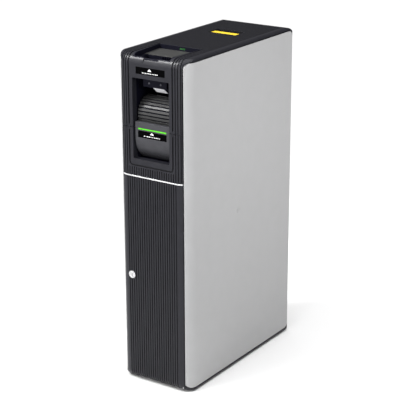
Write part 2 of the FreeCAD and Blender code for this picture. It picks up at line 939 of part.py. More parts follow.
def make_head_shell():
    low = head_split + joint / 2
    shell = cladding(front, front + head_rear, low, top)
    tube = jamb().common(block(-half_w, half_w, front, 0, low, top))
    cuts = [bay_hole(), moat(), scoop(), along_z(tray_outline(fit_gap), top - deep_cut, top + past)]
    cuts += grooves(side_rib_gaps(), rib_gap, rib_depth)
    cuts += [ear_block(x, ear_gap) for x in (-ear_x, ear_x)]
    cuts += head_hinge_rods(head_bore_half, hinge_pin_r + bore_gap)
    nose = polygon([(front - past, low - past), (front + head_nose, low - past),
                    (front - past, low + head_nose)], at_yz)
    cuts.append(along_x(nose, -half_w, half_w))
    half_x = label_half_width + label_gap
    half_z = label_height / 2 + label_gap
    cuts.append(block(-half_x, half_x, front - past, front + label_skin,
                      head_label_z - half_z, head_label_z + half_z))
    return shell.fuse(tube).cut(cuts)


def make_head_label():
    return block(-label_half_width, label_half_width, front + label_sunk, front + label_skin,
                 head_label_z - label_height / 2, head_label_z + label_height / 2)


def make_tray_dish():
    """Black moulding: sloping tray rim, bed under the plate, and the feed pocket."""
    bed = tray_bed
    high = bed + tray_wall
    back = front + pocket_rear
    rim = along_z(tray_outline(0), bed, top).cut(along_z(tray_outline(-tray_wall), high, top + past))
    pocket = block(-pocket_half - tray_wall, pocket_half + tray_wall, front + tray_front,
                   back + tray_wall, pocket_floor_z, high)
    well = block(-pocket_half, pocket_half, front + tray_front + tray_wall + pocket_lip, back,
                 pocket_floor_z + tray_wall, top)
    slot_half = roller_half + feed_slot_margin
    slot = block(-slot_half, slot_half, back - past, back + tray_wall + past,
                 inlet_axis_z - feed_slot_height / 2, inlet_axis_z + feed_slot_height / 2)
    lens_seat = block(-lens_seat_side, lens_width + lens_seat_side, front + tray_rear - tray_wall - past,
                      front + tray_rear - lens_seat_back, top - lens_drop - lens_height - lens_seat_high,
                      top - lens_drop + lens_seat_high)
    inner_ribs = []
    for index in range(pocket_rib_count):
        x = pocket_half - pocket_rib_margin - index * rib_pitch
        inner_ribs.append(block(x - pocket_rib_width / 2, x + pocket_rib_width / 2, back - pocket_rib_length,
                                back + past, inlet_axis_z + pocket_rib_lift, high))
    dish = rim.fuse(pocket).cut([well, slot, lens_seat]).fuse(inner_ribs)
    return dish.common(OUTER).cut(scoop())


def make_tray_plate():
    plate_z = top - tray_plate_drop
    slab = along_z(tray_outline(-tray_wall - fit_gap), plate_z - plate_skin, plate_z)
    return slab.common(block(-half_w, half_w, front + pocket_rear + plate_set, rear, 0, top))


def make_tray_lens():
    back = front + tray_rear
    z1 = top - lens_drop
    return block(0, lens_width, back - tray_wall, back - lens_seat_back - lens_back_gap,
                 z1 - lens_height, z1)


# ---------------------------------------------------------------- top cover and pull
def recess_block(grow, z0):
    y0 = front + recess_front
    x = recess_half + grow
    return block(-x, x, y0 - grow, y0 + recess_length + grow, z0, top + past)


def make_top_cover():
    cover = cladding(cover_front, cover_back, top - side_roll_r, top)
    cuts = grooves(rib_gaps(head_rib_count), rib_gap, rib_depth)
    cuts.append(recess_block(recess_wall + fit_gap, top - deep_cut))
    notch = hinge_ear / 2 + ear_gap
    cuts += [block(x - notch, x + notch, cover_back - cover_ear - past, cover_back + past,
                   top - deep_cut, top + past) for x in (-hinge_x, hinge_x)]
    cuts += cover_hinge_rods(cover_bore_half, hinge_pin_r + bore_gap)
    nose = polygon([(cover_back - cover_nose, top + past), (cover_back + past, top + past),
                    (cover_back + past, top - cover_nose)], at_yz)
    cuts.append(along_x(nose, -half_w, half_w))
    return cover.cut(cuts)


def make_pull_tub():
    tub = recess_block(recess_wall, top - recess_depth).common(OUTER)
    hollow = recess_block(0, top - recess_depth + recess_wall)
    bore_half = recess_half + pull_bore_run
    bore = rod_x(-bore_half, bore_half, *pull_axis(), pull_pin_r + bore_gap)
    y0 = front + recess_front - tub_flange
    y1 = front + recess_front + recess_length + tub_flange
    out = recess_half + tub_flange
    under = top - skin - fit_gap
    rim = block(-out, out, y0, y1, under - tub_flange_skin, under)
    return tub.fuse(rim).cut([hollow, bore])


def pull_axis():
    return front + recess_front + pull_axis_in, top - pull_drop - pull_barrel_r


def make_pull_pin():
    out = recess_half + recess_wall
    return rod_x(-out, out, *pull_axis(), pull_pin_r)


def make_pull_bar():
    y, z = pull_axis()
    y0 = y - pull_barrel_r
    y1 = y0 + pull_length
    high = top - pull_drop
    face = rounded_rect(y0, y1, high - pull_thick, high,
                        [pull_under_r, pull_edge_r, pull_edge_r, pull_nose_r], at_yz)
    bar = along_x(face, -pull_half, pull_half)
    barrel = rod_x(-pull_half, pull_half, y, z, pull_barrel_r)
    grip = block(-pull_half, pull_half, y1 - pull_grip, y1, high - pull_grip_drop, high - pull_thick / 2)
    return bar.fuse([barrel, grip]).cut(rod_x(-half_w, half_w, y, z, pull_pin_r + bore_gap))


# ---------------------------------------------------------------- front bay
def make_bay_liner():
    out = liner_half + liner_wall
    box = block(-out, out, liner_front, liner_back + liner_wall, shelf_top + fit_gap, liner_top)
    room = block(-liner_half, liner_half, liner_front - past, liner_back, bay_bottom - liner_foot,
                 bay_top + liner_head)
    under = block(-liner_half, liner_half, liner_front - past, liner_back + liner_wall + past, 0,
                  bay_bottom - liner_foot - liner_wall)
    axle = rod_x(-out - past, out + past, shutter_y, shutter_z, shutter_axle_r + bore_gap)
    half = print_half - ticket_margin
    ticket_slot = block(-half, half, liner_back - past, liner_back + liner_wall + past,
                        platen_z - ticket_slot_height / 2, platen_z + ticket_slot_height / 2)
    half = roller_half + feed_slot_margin
    y0 = liner_front + feed_hole_set
    inlet = block(-half, half, y0, y0 + feed_hole_run, bay_top, liner_top + past)
    return box.cut([room, under, axle, ticket_slot, inlet])


def pod_profile(inset, run_out):
    """Side outline of the outlet cover: flat face, then a bend that runs in under the bay."""
    y0 = front + pod_face + inset
    r = pod_bend_r - inset
    low = bay_bottom - liner_gap - liner_wall - run_out
    centre_y = front + pod_face + pod_bend_r
    end_y = centre_y - math.sqrt(r * r - (pod_bend_z - low) ** 2)
    half_angle = math.asin((pod_bend_z - low) / r) / 2
    middle = (centre_y - r * math.cos(half_angle), pod_bend_z - r * math.sin(half_angle))
    back = shutter_y - pod_back + run_out
    edges = [
        Part.LineSegment(at_yz(y0, pod_top - inset), at_yz(y0, pod_bend_z)).toShape(),
        Part.Arc(at_yz(y0, pod_bend_z), at_yz(*middle), at_yz(end_y, low)).toShape(),
        Part.LineSegment(at_yz(end_y, low), at_yz(back, low)).toShape(),
        Part.LineSegment(at_yz(back, low), at_yz(back, pod_top - inset)).toShape(),
        Part.LineSegment(at_yz(back, pod_top - inset), at_yz(y0, pod_top - inset)).toShape(),
    ]
    return Part.Face(Part.Wire(edges))


def make_outlet_cover():
    shell = along_x(pod_profile(0, 0), -pod_half_width, pod_half_width)
    hollow = along_x(pod_profile(pod_wall, past), -pod_half_width + pod_wall, pod_half_width - pod_wall)
    drum = rod_x(-pod_half_width - past, pod_half_width + past, shutter_y, shutter_z,
                 shutter_r + shutter_gap)
    y0 = front + pod_face
    led = block(-led_half_width, led_half_width, y0 - past, y0 + led_depth,
                led_z - led_height / 2, led_z + led_height / 2)
    label = block(-label_half_width, label_half_width, y0 - past, y0 + label_skin,
                  pod_label_z - label_height / 2, pod_label_z + label_height / 2)
    z0 = bay_bottom + crease_z
    crease = block(-half_w, half_w, front, shutter_y - pod_back, z0, z0 + crease_height)
    crease = crease.cut(along_x(pod_profile(crease_depth, 0), -half_w, half_w))
    return shell.cut(hollow).cut(drum).cut([led, label, crease])


def make_led_strip():
    y0 = front + pod_face
    half_x = led_half_width - label_gap
    half_z = led_height / 2 - label_gap
    return block(-half_x, half_x, y0 - led_proud, y0 + led_depth - 2 * face_gap,
                 led_z - half_z, led_z + half_z)


def make_outlet_label():
    y0 = front + pod_face
    half_x = label_half_width - label_gap
    half_z = label_height / 2 - label_gap
    return block(-half_x, half_x, y0 + label_sunk, y0 + label_skin,
                 pod_label_z - half_z, pod_label_z + half_z)


def shutter_rim(r, angle):
    """Point on a circle about the shutter's axis; the angle rises from level at the front."""
    turn = math.radians(angle)
    return shutter_y - r * math.cos(turn), shutter_z + r * math.sin(turn)


def sector(r, angle0, angle1, x0, x1):
    """Slice of a cylinder about the shutter's axis."""
    centre = at_yz(shutter_y, shutter_z)
    start = at_yz(*shutter_rim(r, angle0))
    middle = at_yz(*shutter_rim(r, (angle0 + angle1) / 2))
    end = at_yz(*shutter_rim(r, angle1))
    edges = [Part.LineSegment(centre, start).toShape(), Part.Arc(start, middle, end).toShape(),
             Part.LineSegment(end, centre).toShape()]
    return along_x(Part.Face(Part.Wire(edges)), x0, x1)


def make_shutter():
    w = shutter_half_width
    body = sector(shutter_r, shutter_low, shutter_high, -w, w)
    hollow = rod_x(-w + shutter_wall, w - shutter_wall, shutter_y, shutter_z, shutter_r - shutter_wall)
    body = body.cut(hollow)
    count = int((shutter_high - shutter_low) / shutter_rib_angle)
    cuts = []
    for index in range(1, count + 1):
        y, z = shutter_rim(shutter_r, shutter_low + index * shutter_rib_angle)
        cuts.append(rod_x(-w - past, w + past, y, z, shutter_rib_depth))
    hubs = both_sides(rod_x(w - shutter_wall, w, shutter_y, shutter_z, shutter_hub_r))
    bore = rod_x(-w - past, w + past, shutter_y, shutter_z, shutter_axle_r + bore_gap)
    return body.cut(cuts).fuse(hubs).cut(bore)


def make_shutter_axle():
    out = liner_half + liner_wall
    return rod_x(-out, out, shutter_y, shutter_z, shutter_axle_r)


def make_inlet_chute():
    """Dark block under the bay ceiling that leads what is fed in past the steel lip."""
    y0 = front + jamb_depth + chute_set
    y1 = y0 + chute_wall
    z0 = bay_top - chute_drop
    z1 = bay_top + liner_head - fit_gap
    body = block(-chute_half, chute_half, y0, y1, z0, z1)
    cheek = block(chute_half - chute_wall, chute_half, y1, y0 + chute_length, z0, z1)
    return body.fuse(both_sides(cheek))


def make_chute_lip():
    """Bright steel lip that slopes down and back, hung between the chute's cheeks."""
    y0 = front + lip_back
    z0 = bay_top - lip_drop
    y1 = y0 + lip_run
    z1 = z0 - lip_fall
    lip = polygon([(y0, z0), (y1, z1), (y1, z1 + lip_skin), (y0, z0 + lip_skin)], at_yz)
    foot = (y0 + hanger_skin, z0 - hanger_skin * lip_fall / lip_run)
    out = chute_half - chute_wall - fit_gap
    arm = polygon([(y0, z0), foot, (foot[0], z0 + hanger_height), (y0, z0 + hanger_height)], at_yz)
    bridge = polygon([(y0, z0), foot, (foot[0], z0 + hanger_skin), (y0, z0 + hanger_skin)], at_yz)
    hangers = [along_x(arm, -out, -out + hanger_width), along_x(arm, out - hanger_width, out)]
    return along_x(lip, -lip_half, lip_half).fuse(hangers + [along_x(bridge, -out, out)])


def make_chute_screws():
    y1 = front + jamb_depth + chute_set
    return group([rod_y(x, y1 - screw_head, y1 - face_gap, bay_top - screw_drop, screw_r)
                  for x in (-screw_x, screw_x)])


# ---------------------------------------------------------------- mechanism
def make_inlet_frame():
    y0 = front + pocket_rear + tray_wall + feed_frame_set
    y1 = y0 + feed_frame_length
    low = liner_top + fit_gap
    high = tray_bed + tray_bed_gap - feed_frame_head
    clear = roller_half + feed_frame_clear
    out = clear + feed_frame_sheet
    side = block(clear, out, y0, y1, low, high)
    bed = block(-out, out, y0, y1, low, low + feed_frame_sheet)
    bores = [rod_x(-out - past, out + past, y, z, roller_shaft_r + bore_gap) for y, z in INLET_AXES]
    return bed.fuse(both_sides(side)).cut(bores)


def roller(y, z, r, half, shaft_run):
    drum = rod_x(-half, half, y, z, r)
    return drum.fuse(rod_x(-half - shaft_run, half + shaft_run, y, z, roller_shaft_r))


def make_printer_frame():
    y0 = front + platen_back - print_frame_ahead
    y1 = y0 + print_frame_length
    z0 = shelf_top + fit_gap
    out = print_half + plate_sheet
    side = block(print_half, out, y0, y1, z0, platen_z + print_frame_high)
    floor = block(-print_half, print_half, y0, y1, z0, z0 + plate_sheet)
    brace = block(-print_half, print_half, y0 + print_brace_at, y0 + print_brace_at + plate_sheet,
                  z0, platen_z - print_brace_drop)
    guide = block(-print_half, print_half, y0, y0 + print_guide_run,
                  platen_z - print_guide_drop - plate_sheet, platen_z - print_guide_drop)
    bore = rod_x(-out - past, out + past, front + platen_back, platen_z, roller_shaft_r + bore_gap)
    return floor.fuse(both_sides(side) + [brace, guide]).cut(bore)


def make_print_head():
    y = front + platen_back + platen_r
    out = print_half - print_head_lug
    bar = block(-out, out, y + fit_gap, y + print_head_depth, platen_z - print_head_height / 2,
                platen_z + print_head_height / 2)
    lug = block(out, print_half - fit_gap, y + print_lug_set, y + print_head_depth - print_lug_margin,
                platen_z - print_lug_height / 2, platen_z + print_lug_height / 2)
    return bar.fuse(both_sides(lug))


def make_printer_motor():
    y = front + platen_back + motor_behind
    z = platen_z - motor_drop
    x0 = print_half + plate_sheet + fit_gap
    x1 = x0 + motor_length
    return rod_x(x0, x1, y, z, motor_r).fuse(rod_x(x1, x1 + motor_boss, y, z, motor_boss_r))


def make_reel_stand():
    y = front + reel_back
    x0 = reel_half + reel_side_gap
    z0 = shelf_top + fit_gap
    y0 = y - reel_post_half
    y1 = y + reel_post_half
    post = block(x0, x0 + reel_post_skin, y0, y1, z0, reel_z + reel_post_above)
    foot = block(x0, x0 + reel_foot, y0, y1, z0, z0 + reel_post_skin)
    out = x0 + reel_post_skin + past
    bore = rod_x(-out, out, y, reel_z, spindle_r + bore_gap)
    return group([side.cut(bore) for side in both_sides(post.fuse(foot))])


def make_reel_spindle():
    half = reel_half + spindle_run
    return rod_x(-half, half, front + reel_back, reel_z, spindle_r)


def make_ticket_reel():
    y = front + reel_back
    roll = rod_x(-reel_half, reel_half, y, reel_z, reel_r)
    return roll.cut(rod_x(-reel_half - past, reel_half + past, y, reel_z, reel_core_r))


def make_reel_core():
    y = front + reel_back
    half = reel_half + core_run
    core = rod_x(-half, half, y, reel_z, reel_core_r - face_gap)
    return core.cut(rod_x(-half - past, half + past, y, reel_z, spindle_r + bore_gap))


def sheet_box(x0, x1, y0, y1, z0, z1):
    """Closed box folded from sheet."""
    t = wall_sheet
    return block(x0, x1, y0, y1, z0, z1).cut(block(x0 + t, x1 - t, y0 + t, y1 - t, z0 + t, z1 - t))


def make_power_supply():
    """Boxed supply on the left wall, with a row of upright vents in its inner face."""
    x0 = -inside
    x1 = x0 + supply_width
    z1 = shelf_low - supply_drop
    z0 = z1 - supply_height
    case = sheet_box(x0, x1, supply_start, supply_start + supply_length, z0, z1)
    vents = []
    for index in range(vent_count):
        y = supply_start + vent_margin + index * vent_pitch
        vents.append(block(x1 - wall_sheet - past, x1 + past, y, y + vent_width,
                           z0 + vent_low, z1 - vent_high))
    return case.cut(vents)


def make_controller_box():
    """Controller's case on the right wall, with a row of ports in its inner face."""
    x1 = inside
    x0 = x1 - control_width
    z1 = shelf_low - control_drop
    z0 = z1 - control_height
    case = sheet_box(x0, x1, control_start, control_start + control_length, z0, z1)
    ports = []
    for index in range(port_count):
        y = control_start + port_margin + index * port_pitch
        ports.append(block(x0 - past, x0 + port_depth, y, y + port_width, z1 - port_drop - port_height,
                           z1 - port_drop))
    return case.cut(ports)


def make_mains_inlet():
    """Moulding that holds the mains socket and, above it, the rocker switch."""
    half = inlet_half_x - inlet_gap
    body = block(-half, half, rear - inlet_depth, rear - inlet_sunk, inlet_z - inlet_half_z + inlet_gap,
                 switch_z + inlet_half_z - inlet_gap)
    y0 = rear - socket_depth
    well = block(-socket_half_x, socket_half_x, y0, rear, inlet_z - socket_half_z, inlet_z + socket_half_z)
    blades = []
    low = inlet_z + blade_low
    for x, z in ((-blade_x, low), (blade_x, low), (0, inlet_z + blade_high)):
        blades.append(block(x - blade_width / 2, x + blade_width / 2, rear - blade_root, rear - blade_sunk,
                            z - blade_height / 2, z + blade_height / 2))
    rocker_well = block(-rocker_well_x, rocker_well_x, y0, rear, switch_z - rocker_well_z,
                        switch_z + rocker_well_z)
    pin_half = rocker_pin_half + past
    rocker_pin = rod_x(-pin_half, pin_half, rear - rocker_axis, switch_z, rocker_pin_r + bore_gap)
    return body.cut([well, rocker_well, rocker_pin]).fuse(blades)


def make_power_rocker():
    """Rocker tilted on its pin; the upper half stands proud when on."""
    y0 = rear - rocker_back
    face = polygon([(y0, switch_z - rocker_back_z), (y0, switch_z + rocker_back_z),
                    (rear - rocker_on, switch_z + rocker_edge_z), (rear - rocker_middle, switch_z),
                    (rear - rocker_off, switch_z - rocker_edge_z)], at_yz)
    pin = rod_x(-rocker_pin_half, rocker_pin_half, rear - rocker_axis, switch_z, rocker_pin_r)
    return along_x(face, -rocker_half, rocker_half).fuse(pin)


def make_fan_frame():
    """Square fan frame with a cross of spokes that carries the motor's fixed half and pin."""
    y1 = rear - skin - fit_gap
    y0 = y1 - fan_depth
    frame = block(-fan_half, fan_half, y0, y1, fan_z - fan_half, fan_z + fan_half)
    frame = frame.cut(rod_y(0, y0 - past, y1 + past, fan_z, fan_half - fan_rim))
    half = fan_spoke / 2
    spokes = [block(-fan_half, fan_half, y0, y0 + fan_spoke_skin, fan_z - half, fan_z + half),
              block(-half, half, y0, y0 + fan_spoke_skin, fan_z - fan_half, fan_z + fan_half)]
    stator = rod_y(0, y0, y0 + fan_stator, fan_z, fan_hub_r)
    pin = rod_y(0, y0 + fan_stator, y1 - fan_pin_back, fan_z, fan_pin_r)
    return frame.fuse(spokes + [stator, pin])


def make_fan_rotor():
    y1 = rear - skin - fit_gap
    y0 = y1 - fan_depth + fan_stator + fit_gap
    blade_y = y0 + fan_blade_set
    hub = rod_y(0, y0, y1 - fan_hub_back, fan_z, fan_hub_r)
    blades = []
    for index in range(fan_blade_count):
        blade = block(fan_hub_r - fan_blade_bite, fan_half - fan_blade_tip,
                      blade_y, blade_y + fan_blade_depth,
                      fan_z - fan_blade_skin / 2, fan_z + fan_blade_skin / 2)
        blade.rotate(V(fan_hub_r, blade_y + fan_blade_depth / 2, fan_z), V(1, 0, 0), fan_blade_lean)
        blade.rotate(V(0, 0, fan_z), V(0, 1, 0), index * 360 / fan_blade_count)
        blades.append(blade)
    bore = rod_y(0, y0 - past, y1 - fan_pin_back + fit_gap, fan_z, fan_pin_r + bore_gap)
    return hub.fuse(blades).cut(bore)


def make_ticket_bin():
    y0 = front + bin_front
    y1 = y0 + bin_length
    z0 = base_top + fit_gap
    z1 = z0 + bin_height
    box = block(-bin_half, bin_half, y0, y1, z0, z1)
    room = block(-bin_half + bin_sheet, bin_half - bin_sheet, y0 + bin_sheet, y1 - bin_sheet,
                 z0 + bin_sheet, z1 + past)
    grip_top = z1 - bin_grip_drop
    grip = block(-bin_grip_half, bin_grip_half, y0 - past, y0 + bin_sheet + past,
                 grip_top - bin_grip_height, grip_top)
    return box.cut([room, grip])


# ---------------------------------------------------------------- build
RIGHT_WALL = make_right_wall()
RIGHT_PANEL = make_right_panel()
CAP = make_cap()

NODES = {
    "base_skirt": make_base_skirt(),
    "base_plate": make_base_plate(),
    "levelling_feet": make_levelling_feet(),
    "right_wall": RIGHT_WALL,
    "left_wall": mirror_x(RIGHT_WALL),
    "right_side_panel": RIGHT_PANEL,
    "left_side_panel": mirror_x(RIGHT_PANEL),
    "panel_caps": group(both_sides(CAP)),
    "rear_panel": make_rear_panel(),
    "rear_cap": make_rear_cap(),
    "cover_hinge_pins": make_cover_pins(),
    "top_crossbar": make_top_crossbar(),
    "magnet_catches": make_magnets(),
    "mid_shelf": make_mid_shelf(),
    "trim_strip": make_trim_strip(),
    "door_hinge_pins": make_door_pins(),
    "door_panel": make_door_panel(),
    "door_stiffener": make_door_stiffener(),
    "lock_barrel": make_lock_barrel(),
    "lock_plug": make_lock_plug(),
    "lock_cam": make_lock_cam(),
    "lock_strike": make_strike(),
    "lower_bezel": make_lower_bezel(),
    "head_hinge_pins": make_head_pins(),
    "head_shell": make_head_shell(),
    "head_label": make_head_label(),
    "tray_dish": make_tray_dish(),
    "tray_plate": make_tray_plate(),
    "tray_lens": make_tray_lens(),
    "top_cover": make_top_cover(),
    "pull_tub": make_pull_tub(),
    "pull_pin": make_pull_pin(),
    "pull_bar": make_pull_bar(),
    "bay_liner": make_bay_liner(),
    "outlet_cover": make_outlet_cover(),
    "led_strip": make_led_strip(),
    "outlet_label": make_outlet_label(),
    "outlet_shutter": make_shutter(),
    "shutter_axle": make_shutter_axle(),
    "inlet_chute": make_inlet_chute(),
    "chute_lip": make_chute_lip(),
    "chute_screws": make_chute_screws(),
    "inlet_frame": make_inlet_frame(),
    "inlet_roller": roller(*INLET_AXES[0], roller_r, roller_half, roller_shaft_run),
    "pinch_roller": roller(*INLET_AXES[1], roller_r, roller_half, roller_shaft_run),
    "printer_frame": make_printer_frame(),
    "platen_roller": roller(front + platen_back, platen_z, platen_r, print_half - platen_margin,
                            platen_margin + platen_shaft_run),
    "print_head": make_print_head(),
    "printer_motor": make_printer_motor(),
    "reel_stand": make_reel_stand(),
    "reel_spindle": make_reel_spindle(),
    "ticket_reel": make_ticket_reel(),
    "reel_core": make_reel_core(),
    "power_supply": make_power_supply(),
    "controller_box": make_controller_box(),
    "mains_inlet": make_mains_inlet(),
    "power_rocker": make_power_rocker(),
    "fan_frame": make_fan_frame(),
    "fan_rotor": make_fan_rotor(),
    "ticket_bin": make_ticket_bin(),
}

os.makedirs("parts", exist_ok=True)
for name, shape in NODES.items():
    export(name, shape)
    print(name, len(shape.Solids), shape.isValid(), round(shape.Volume))
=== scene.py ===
import math

import bmesh
import bpy
from mathutils import Matrix, Vector


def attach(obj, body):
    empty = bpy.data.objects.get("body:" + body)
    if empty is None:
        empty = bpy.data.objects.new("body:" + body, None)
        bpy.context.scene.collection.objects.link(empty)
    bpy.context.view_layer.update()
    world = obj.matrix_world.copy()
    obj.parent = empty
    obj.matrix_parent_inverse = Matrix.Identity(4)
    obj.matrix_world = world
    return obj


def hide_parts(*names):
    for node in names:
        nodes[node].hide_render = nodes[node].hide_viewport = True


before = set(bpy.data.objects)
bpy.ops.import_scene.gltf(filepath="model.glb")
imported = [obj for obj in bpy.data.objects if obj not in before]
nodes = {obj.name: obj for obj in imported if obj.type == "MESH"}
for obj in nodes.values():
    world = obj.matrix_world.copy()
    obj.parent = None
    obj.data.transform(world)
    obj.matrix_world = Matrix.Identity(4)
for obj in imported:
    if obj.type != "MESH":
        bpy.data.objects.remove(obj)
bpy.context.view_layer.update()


# ---------------------------------------------------------------- room, camera and lights
# A pale matt floor, a camera at head height in front of the right-hand corner, and soft lamps:
# a wide overhead bank, a key low on the right, two banks on the front, and a narrow strip
# that picks out the top's front edge.

def toward(azimuth, elevation):
    """From the part to a lamp or the camera; azimuth turns from the front to the right."""
    a = math.radians(azimuth)
    e = math.radians(elevation)
    return Vector((math.sin(a) * math.cos(e), -math.cos(a) * math.cos(e), math.sin(e)))


def add_camera():
    azimuth, elevation, distance = 34.31, 18.76, 4.0937
    roll = math.radians(-0.20)
    left, raised = 0.0223, 0.0026
    sensor, focal_length = 36, 121.7
    back = toward(azimuth, elevation)
    level = Vector((math.cos(math.radians(azimuth)), math.sin(math.radians(azimuth)), 0))
    upright = back.cross(level)
    right = math.cos(roll) * level + math.sin(roll) * upright
    up = -math.sin(roll) * level + math.cos(roll) * upright
    target = Vector((0, 0, 0.5)) - left * right + raised * up
    lens = bpy.data.cameras.new("camera")
    lens.sensor_width = sensor
    lens.lens = focal_length
    camera = bpy.data.objects.new("camera", lens)
    camera.matrix_world = Matrix.Translation(target + distance * back) @ Matrix(
        ((right.x, up.x, back.x), (right.y, up.y, back.y), (right.z, up.z, back.z))).to_4x4()
    bpy.context.scene.collection.objects.link(camera)
    bpy.context.scene.camera = camera


def hang(name, lamp, azimuth, elevation, distance, aim):
    holder = bpy.data.objects.new(name, lamp)
    back = toward(azimuth, elevation)
    holder.location = Vector(aim) + distance * back
    holder.rotation_euler = back.to_track_quat("Z", "Y").to_euler()
    bpy.context.scene.collection.objects.link(holder)


def softbox(name, azimuth, elevation, distance, width, height, power, beam, aim):
    lamp = bpy.data.lights.new(name, "AREA")
    lamp.shape = "RECTANGLE"
    lamp.size = width
    lamp.size_y = height
    lamp.energy = power
    lamp.spread = math.radians(beam)
    hang(name, lamp, azimuth, elevation, distance, aim)


def ceiling(name, azimuth, elevation, width, strength):
    lamp = bpy.data.lights.new(name, "SUN")
    lamp.angle = math.radians(width)
    lamp.energy = strength
    hang(name, lamp, azimuth, elevation, 4, (0, 0, 0.5))


def feed(tree, source, socket):
    """Links the source to the socket, or sets the socket when the source is a plain value."""
    if isinstance(source, bpy.types.NodeSocket):
        tree.links.new(source, socket)
    elif source is not None:
        socket.default_value = source


def noise_of(tree, place, **settings):
    node = tree.nodes.new("ShaderNodeTexNoise")
    tree.links.new(place, node.inputs["Vector"])
    for name, value in settings.items():
        node.inputs[name].default_value = value
    return node.outputs["Fac"]


def ranged(tree, value, **limits):
    """The value carried over from one range to another; limits not given are 0 and 1."""
    node = tree.nodes.new("ShaderNodeMapRange")
    tree.links.new(value, node.inputs["Value"])
    for name, limit in limits.items():
        node.inputs[name.replace("_", " ")].default_value = limit
    return node.outputs["Result"]


def add_floor():
    reach = 14
    mesh = bpy.data.meshes.new("floor")
    mesh.from_pydata([(-reach, -reach, 0), (reach, -reach, 0), (reach, reach, 0), (-reach, reach, 0)], [],
                     [(0, 1, 2, 3)])
    floor = bpy.data.objects.new("floor", mesh)
    bpy.context.scene.collection.objects.link(floor)
    material = bpy.data.materials.new("pale_floor")
    material.use_nodes = True
    tree = material.node_tree
    shader = tree.nodes["Principled BSDF"]
    shader.inputs["Roughness"].default_value = 0.85
    where = tree.nodes.new("ShaderNodeTexCoord")
    cloud = noise_of(tree, where.outputs["Object"], Scale=1.3)
    tree.links.new(ranged(tree, cloud, To_Min=0.90, To_Max=0.93), shader.inputs["Base Color"])
    mesh.materials.append(material)


add_camera()
# ceiling: azimuth, elevation, width in degrees, strength
# softbox: azimuth, elevation, distance, width, height, power, beam in degrees, aim
ceiling("ceiling_bank", 70, 82, 80, 3.3)
softbox("key_bank", 66, 16, 2.6, 1.0, 0.5, 1.6, 36, (0.12, 0, 0.9))
softbox("front_bank", -24, 20, 2.6, 0.7, 1.1, 6, 90, (0, -0.28, 0.7))
softbox("edge_strip", -43, 42, 2.4, 0.7, 0.09, 9, 60, (0, -0.28, 0.97))
softbox("roll_bank", 10, 10, 2.6, 0.5, 1.1, 3.5, 80, (0.1, -0.25, 0.55))
world = bpy.data.worlds.new("studio")
world.use_nodes = True
world.node_tree.nodes["Background"].inputs["Color"].default_value = (1, 1, 1, 1)
world.node_tree.nodes["Background"].inputs["Strength"].default_value = 0.12
bpy.context.scene.world = world
bpy.context.scene.view_settings.view_transform = "Standard"
add_floor()


# ---------------------------------------------------------------- base: skirt, pan and feet
# The skirt is one thick moulding in anthracite plastic. The pan is folded galvanised steel
# inside it, and four rubber-soled feet screw up into the pan.

def math_of(tree, kind, first, second=None, third=None, clamp=False):
    """A Math node on sockets or plain numbers."""
    node = tree.nodes.new("ShaderNodeMath")
    node.operation = kind
    node.use_clamp = clamp
    for socket, value in zip(node.inputs, (first, second, third)):
        feed(tree, value, socket)
    return node.outputs["Value"]


def mixed(tree, mask, under, over):
    """Under where the mask is 0 and over where it is 1; a colour when over is a tuple."""
    node = tree.nodes.new("ShaderNodeMix")
    node.data_type, first, result = ("RGBA", 6, 2) if isinstance(over, tuple) else ("FLOAT", 2, 0)
    for number, source in ((0, mask), (first, under), (first + 1, over)):
        feed(tree, source, node.inputs[number])
    return node.outputs[result]


def shader_group(name, inputs, outputs):
    """A node group with number or colour sockets; returns it, what it is given and gives."""
    tree = bpy.data.node_groups.new(name, "ShaderNodeTree")
    for socket, value in inputs.items():
        kind = "NodeSocketColor" if isinstance(value, tuple) else "NodeSocketFloat"
        made = tree.interface.new_socket(name=socket, in_out="INPUT", socket_type=kind)
        made.default_value = value
    for socket, kind in outputs.items():
        tree.interface.new_socket(name=socket, in_out="OUTPUT", socket_type=kind)
    return tree, tree.nodes.new("NodeGroupInput").outputs, tree.nodes.new("NodeGroupOutput").inputs


def scaled_place(tree, scale):
    """Object coordinates times the scale socket."""
    where = tree.nodes.new("ShaderNodeTexCoord")
    times = tree.nodes.new("ShaderNodeVectorMath")
    times.operation = "SCALE"
    tree.links.new(where.outputs["Object"], times.inputs[0])
    tree.links.new(scale, times.inputs["Scale"])
    return times.outputs["Vector"]


def grain_group():
    """Spark texture or paint peel: a fine pitted height, and a slow mottling of tone."""
    tree, given, out = shader_group(
        "surface_grain", {"Grains per Metre": 900.0, "Mottle per Metre": 9.0, "Pitting": 0.5},
        {"Height": "NodeSocketFloat", "Mottle": "NodeSocketFloat"})
    close = scaled_place(tree, given["Grains per Metre"])
    pits = tree.nodes.new("ShaderNodeTexVoronoi")
    tree.links.new(close, pits.inputs["Vector"])
    fine = noise_of(tree, close, Detail=3)
    slow = noise_of(tree, scaled_place(tree, given["Mottle per Metre"]), Detail=4)
    tree.links.new(mixed(tree, given["Pitting"], fine, pits.outputs["Distance"]), out["Height"])
    tree.links.new(slow, out["Mottle"])
    return tree


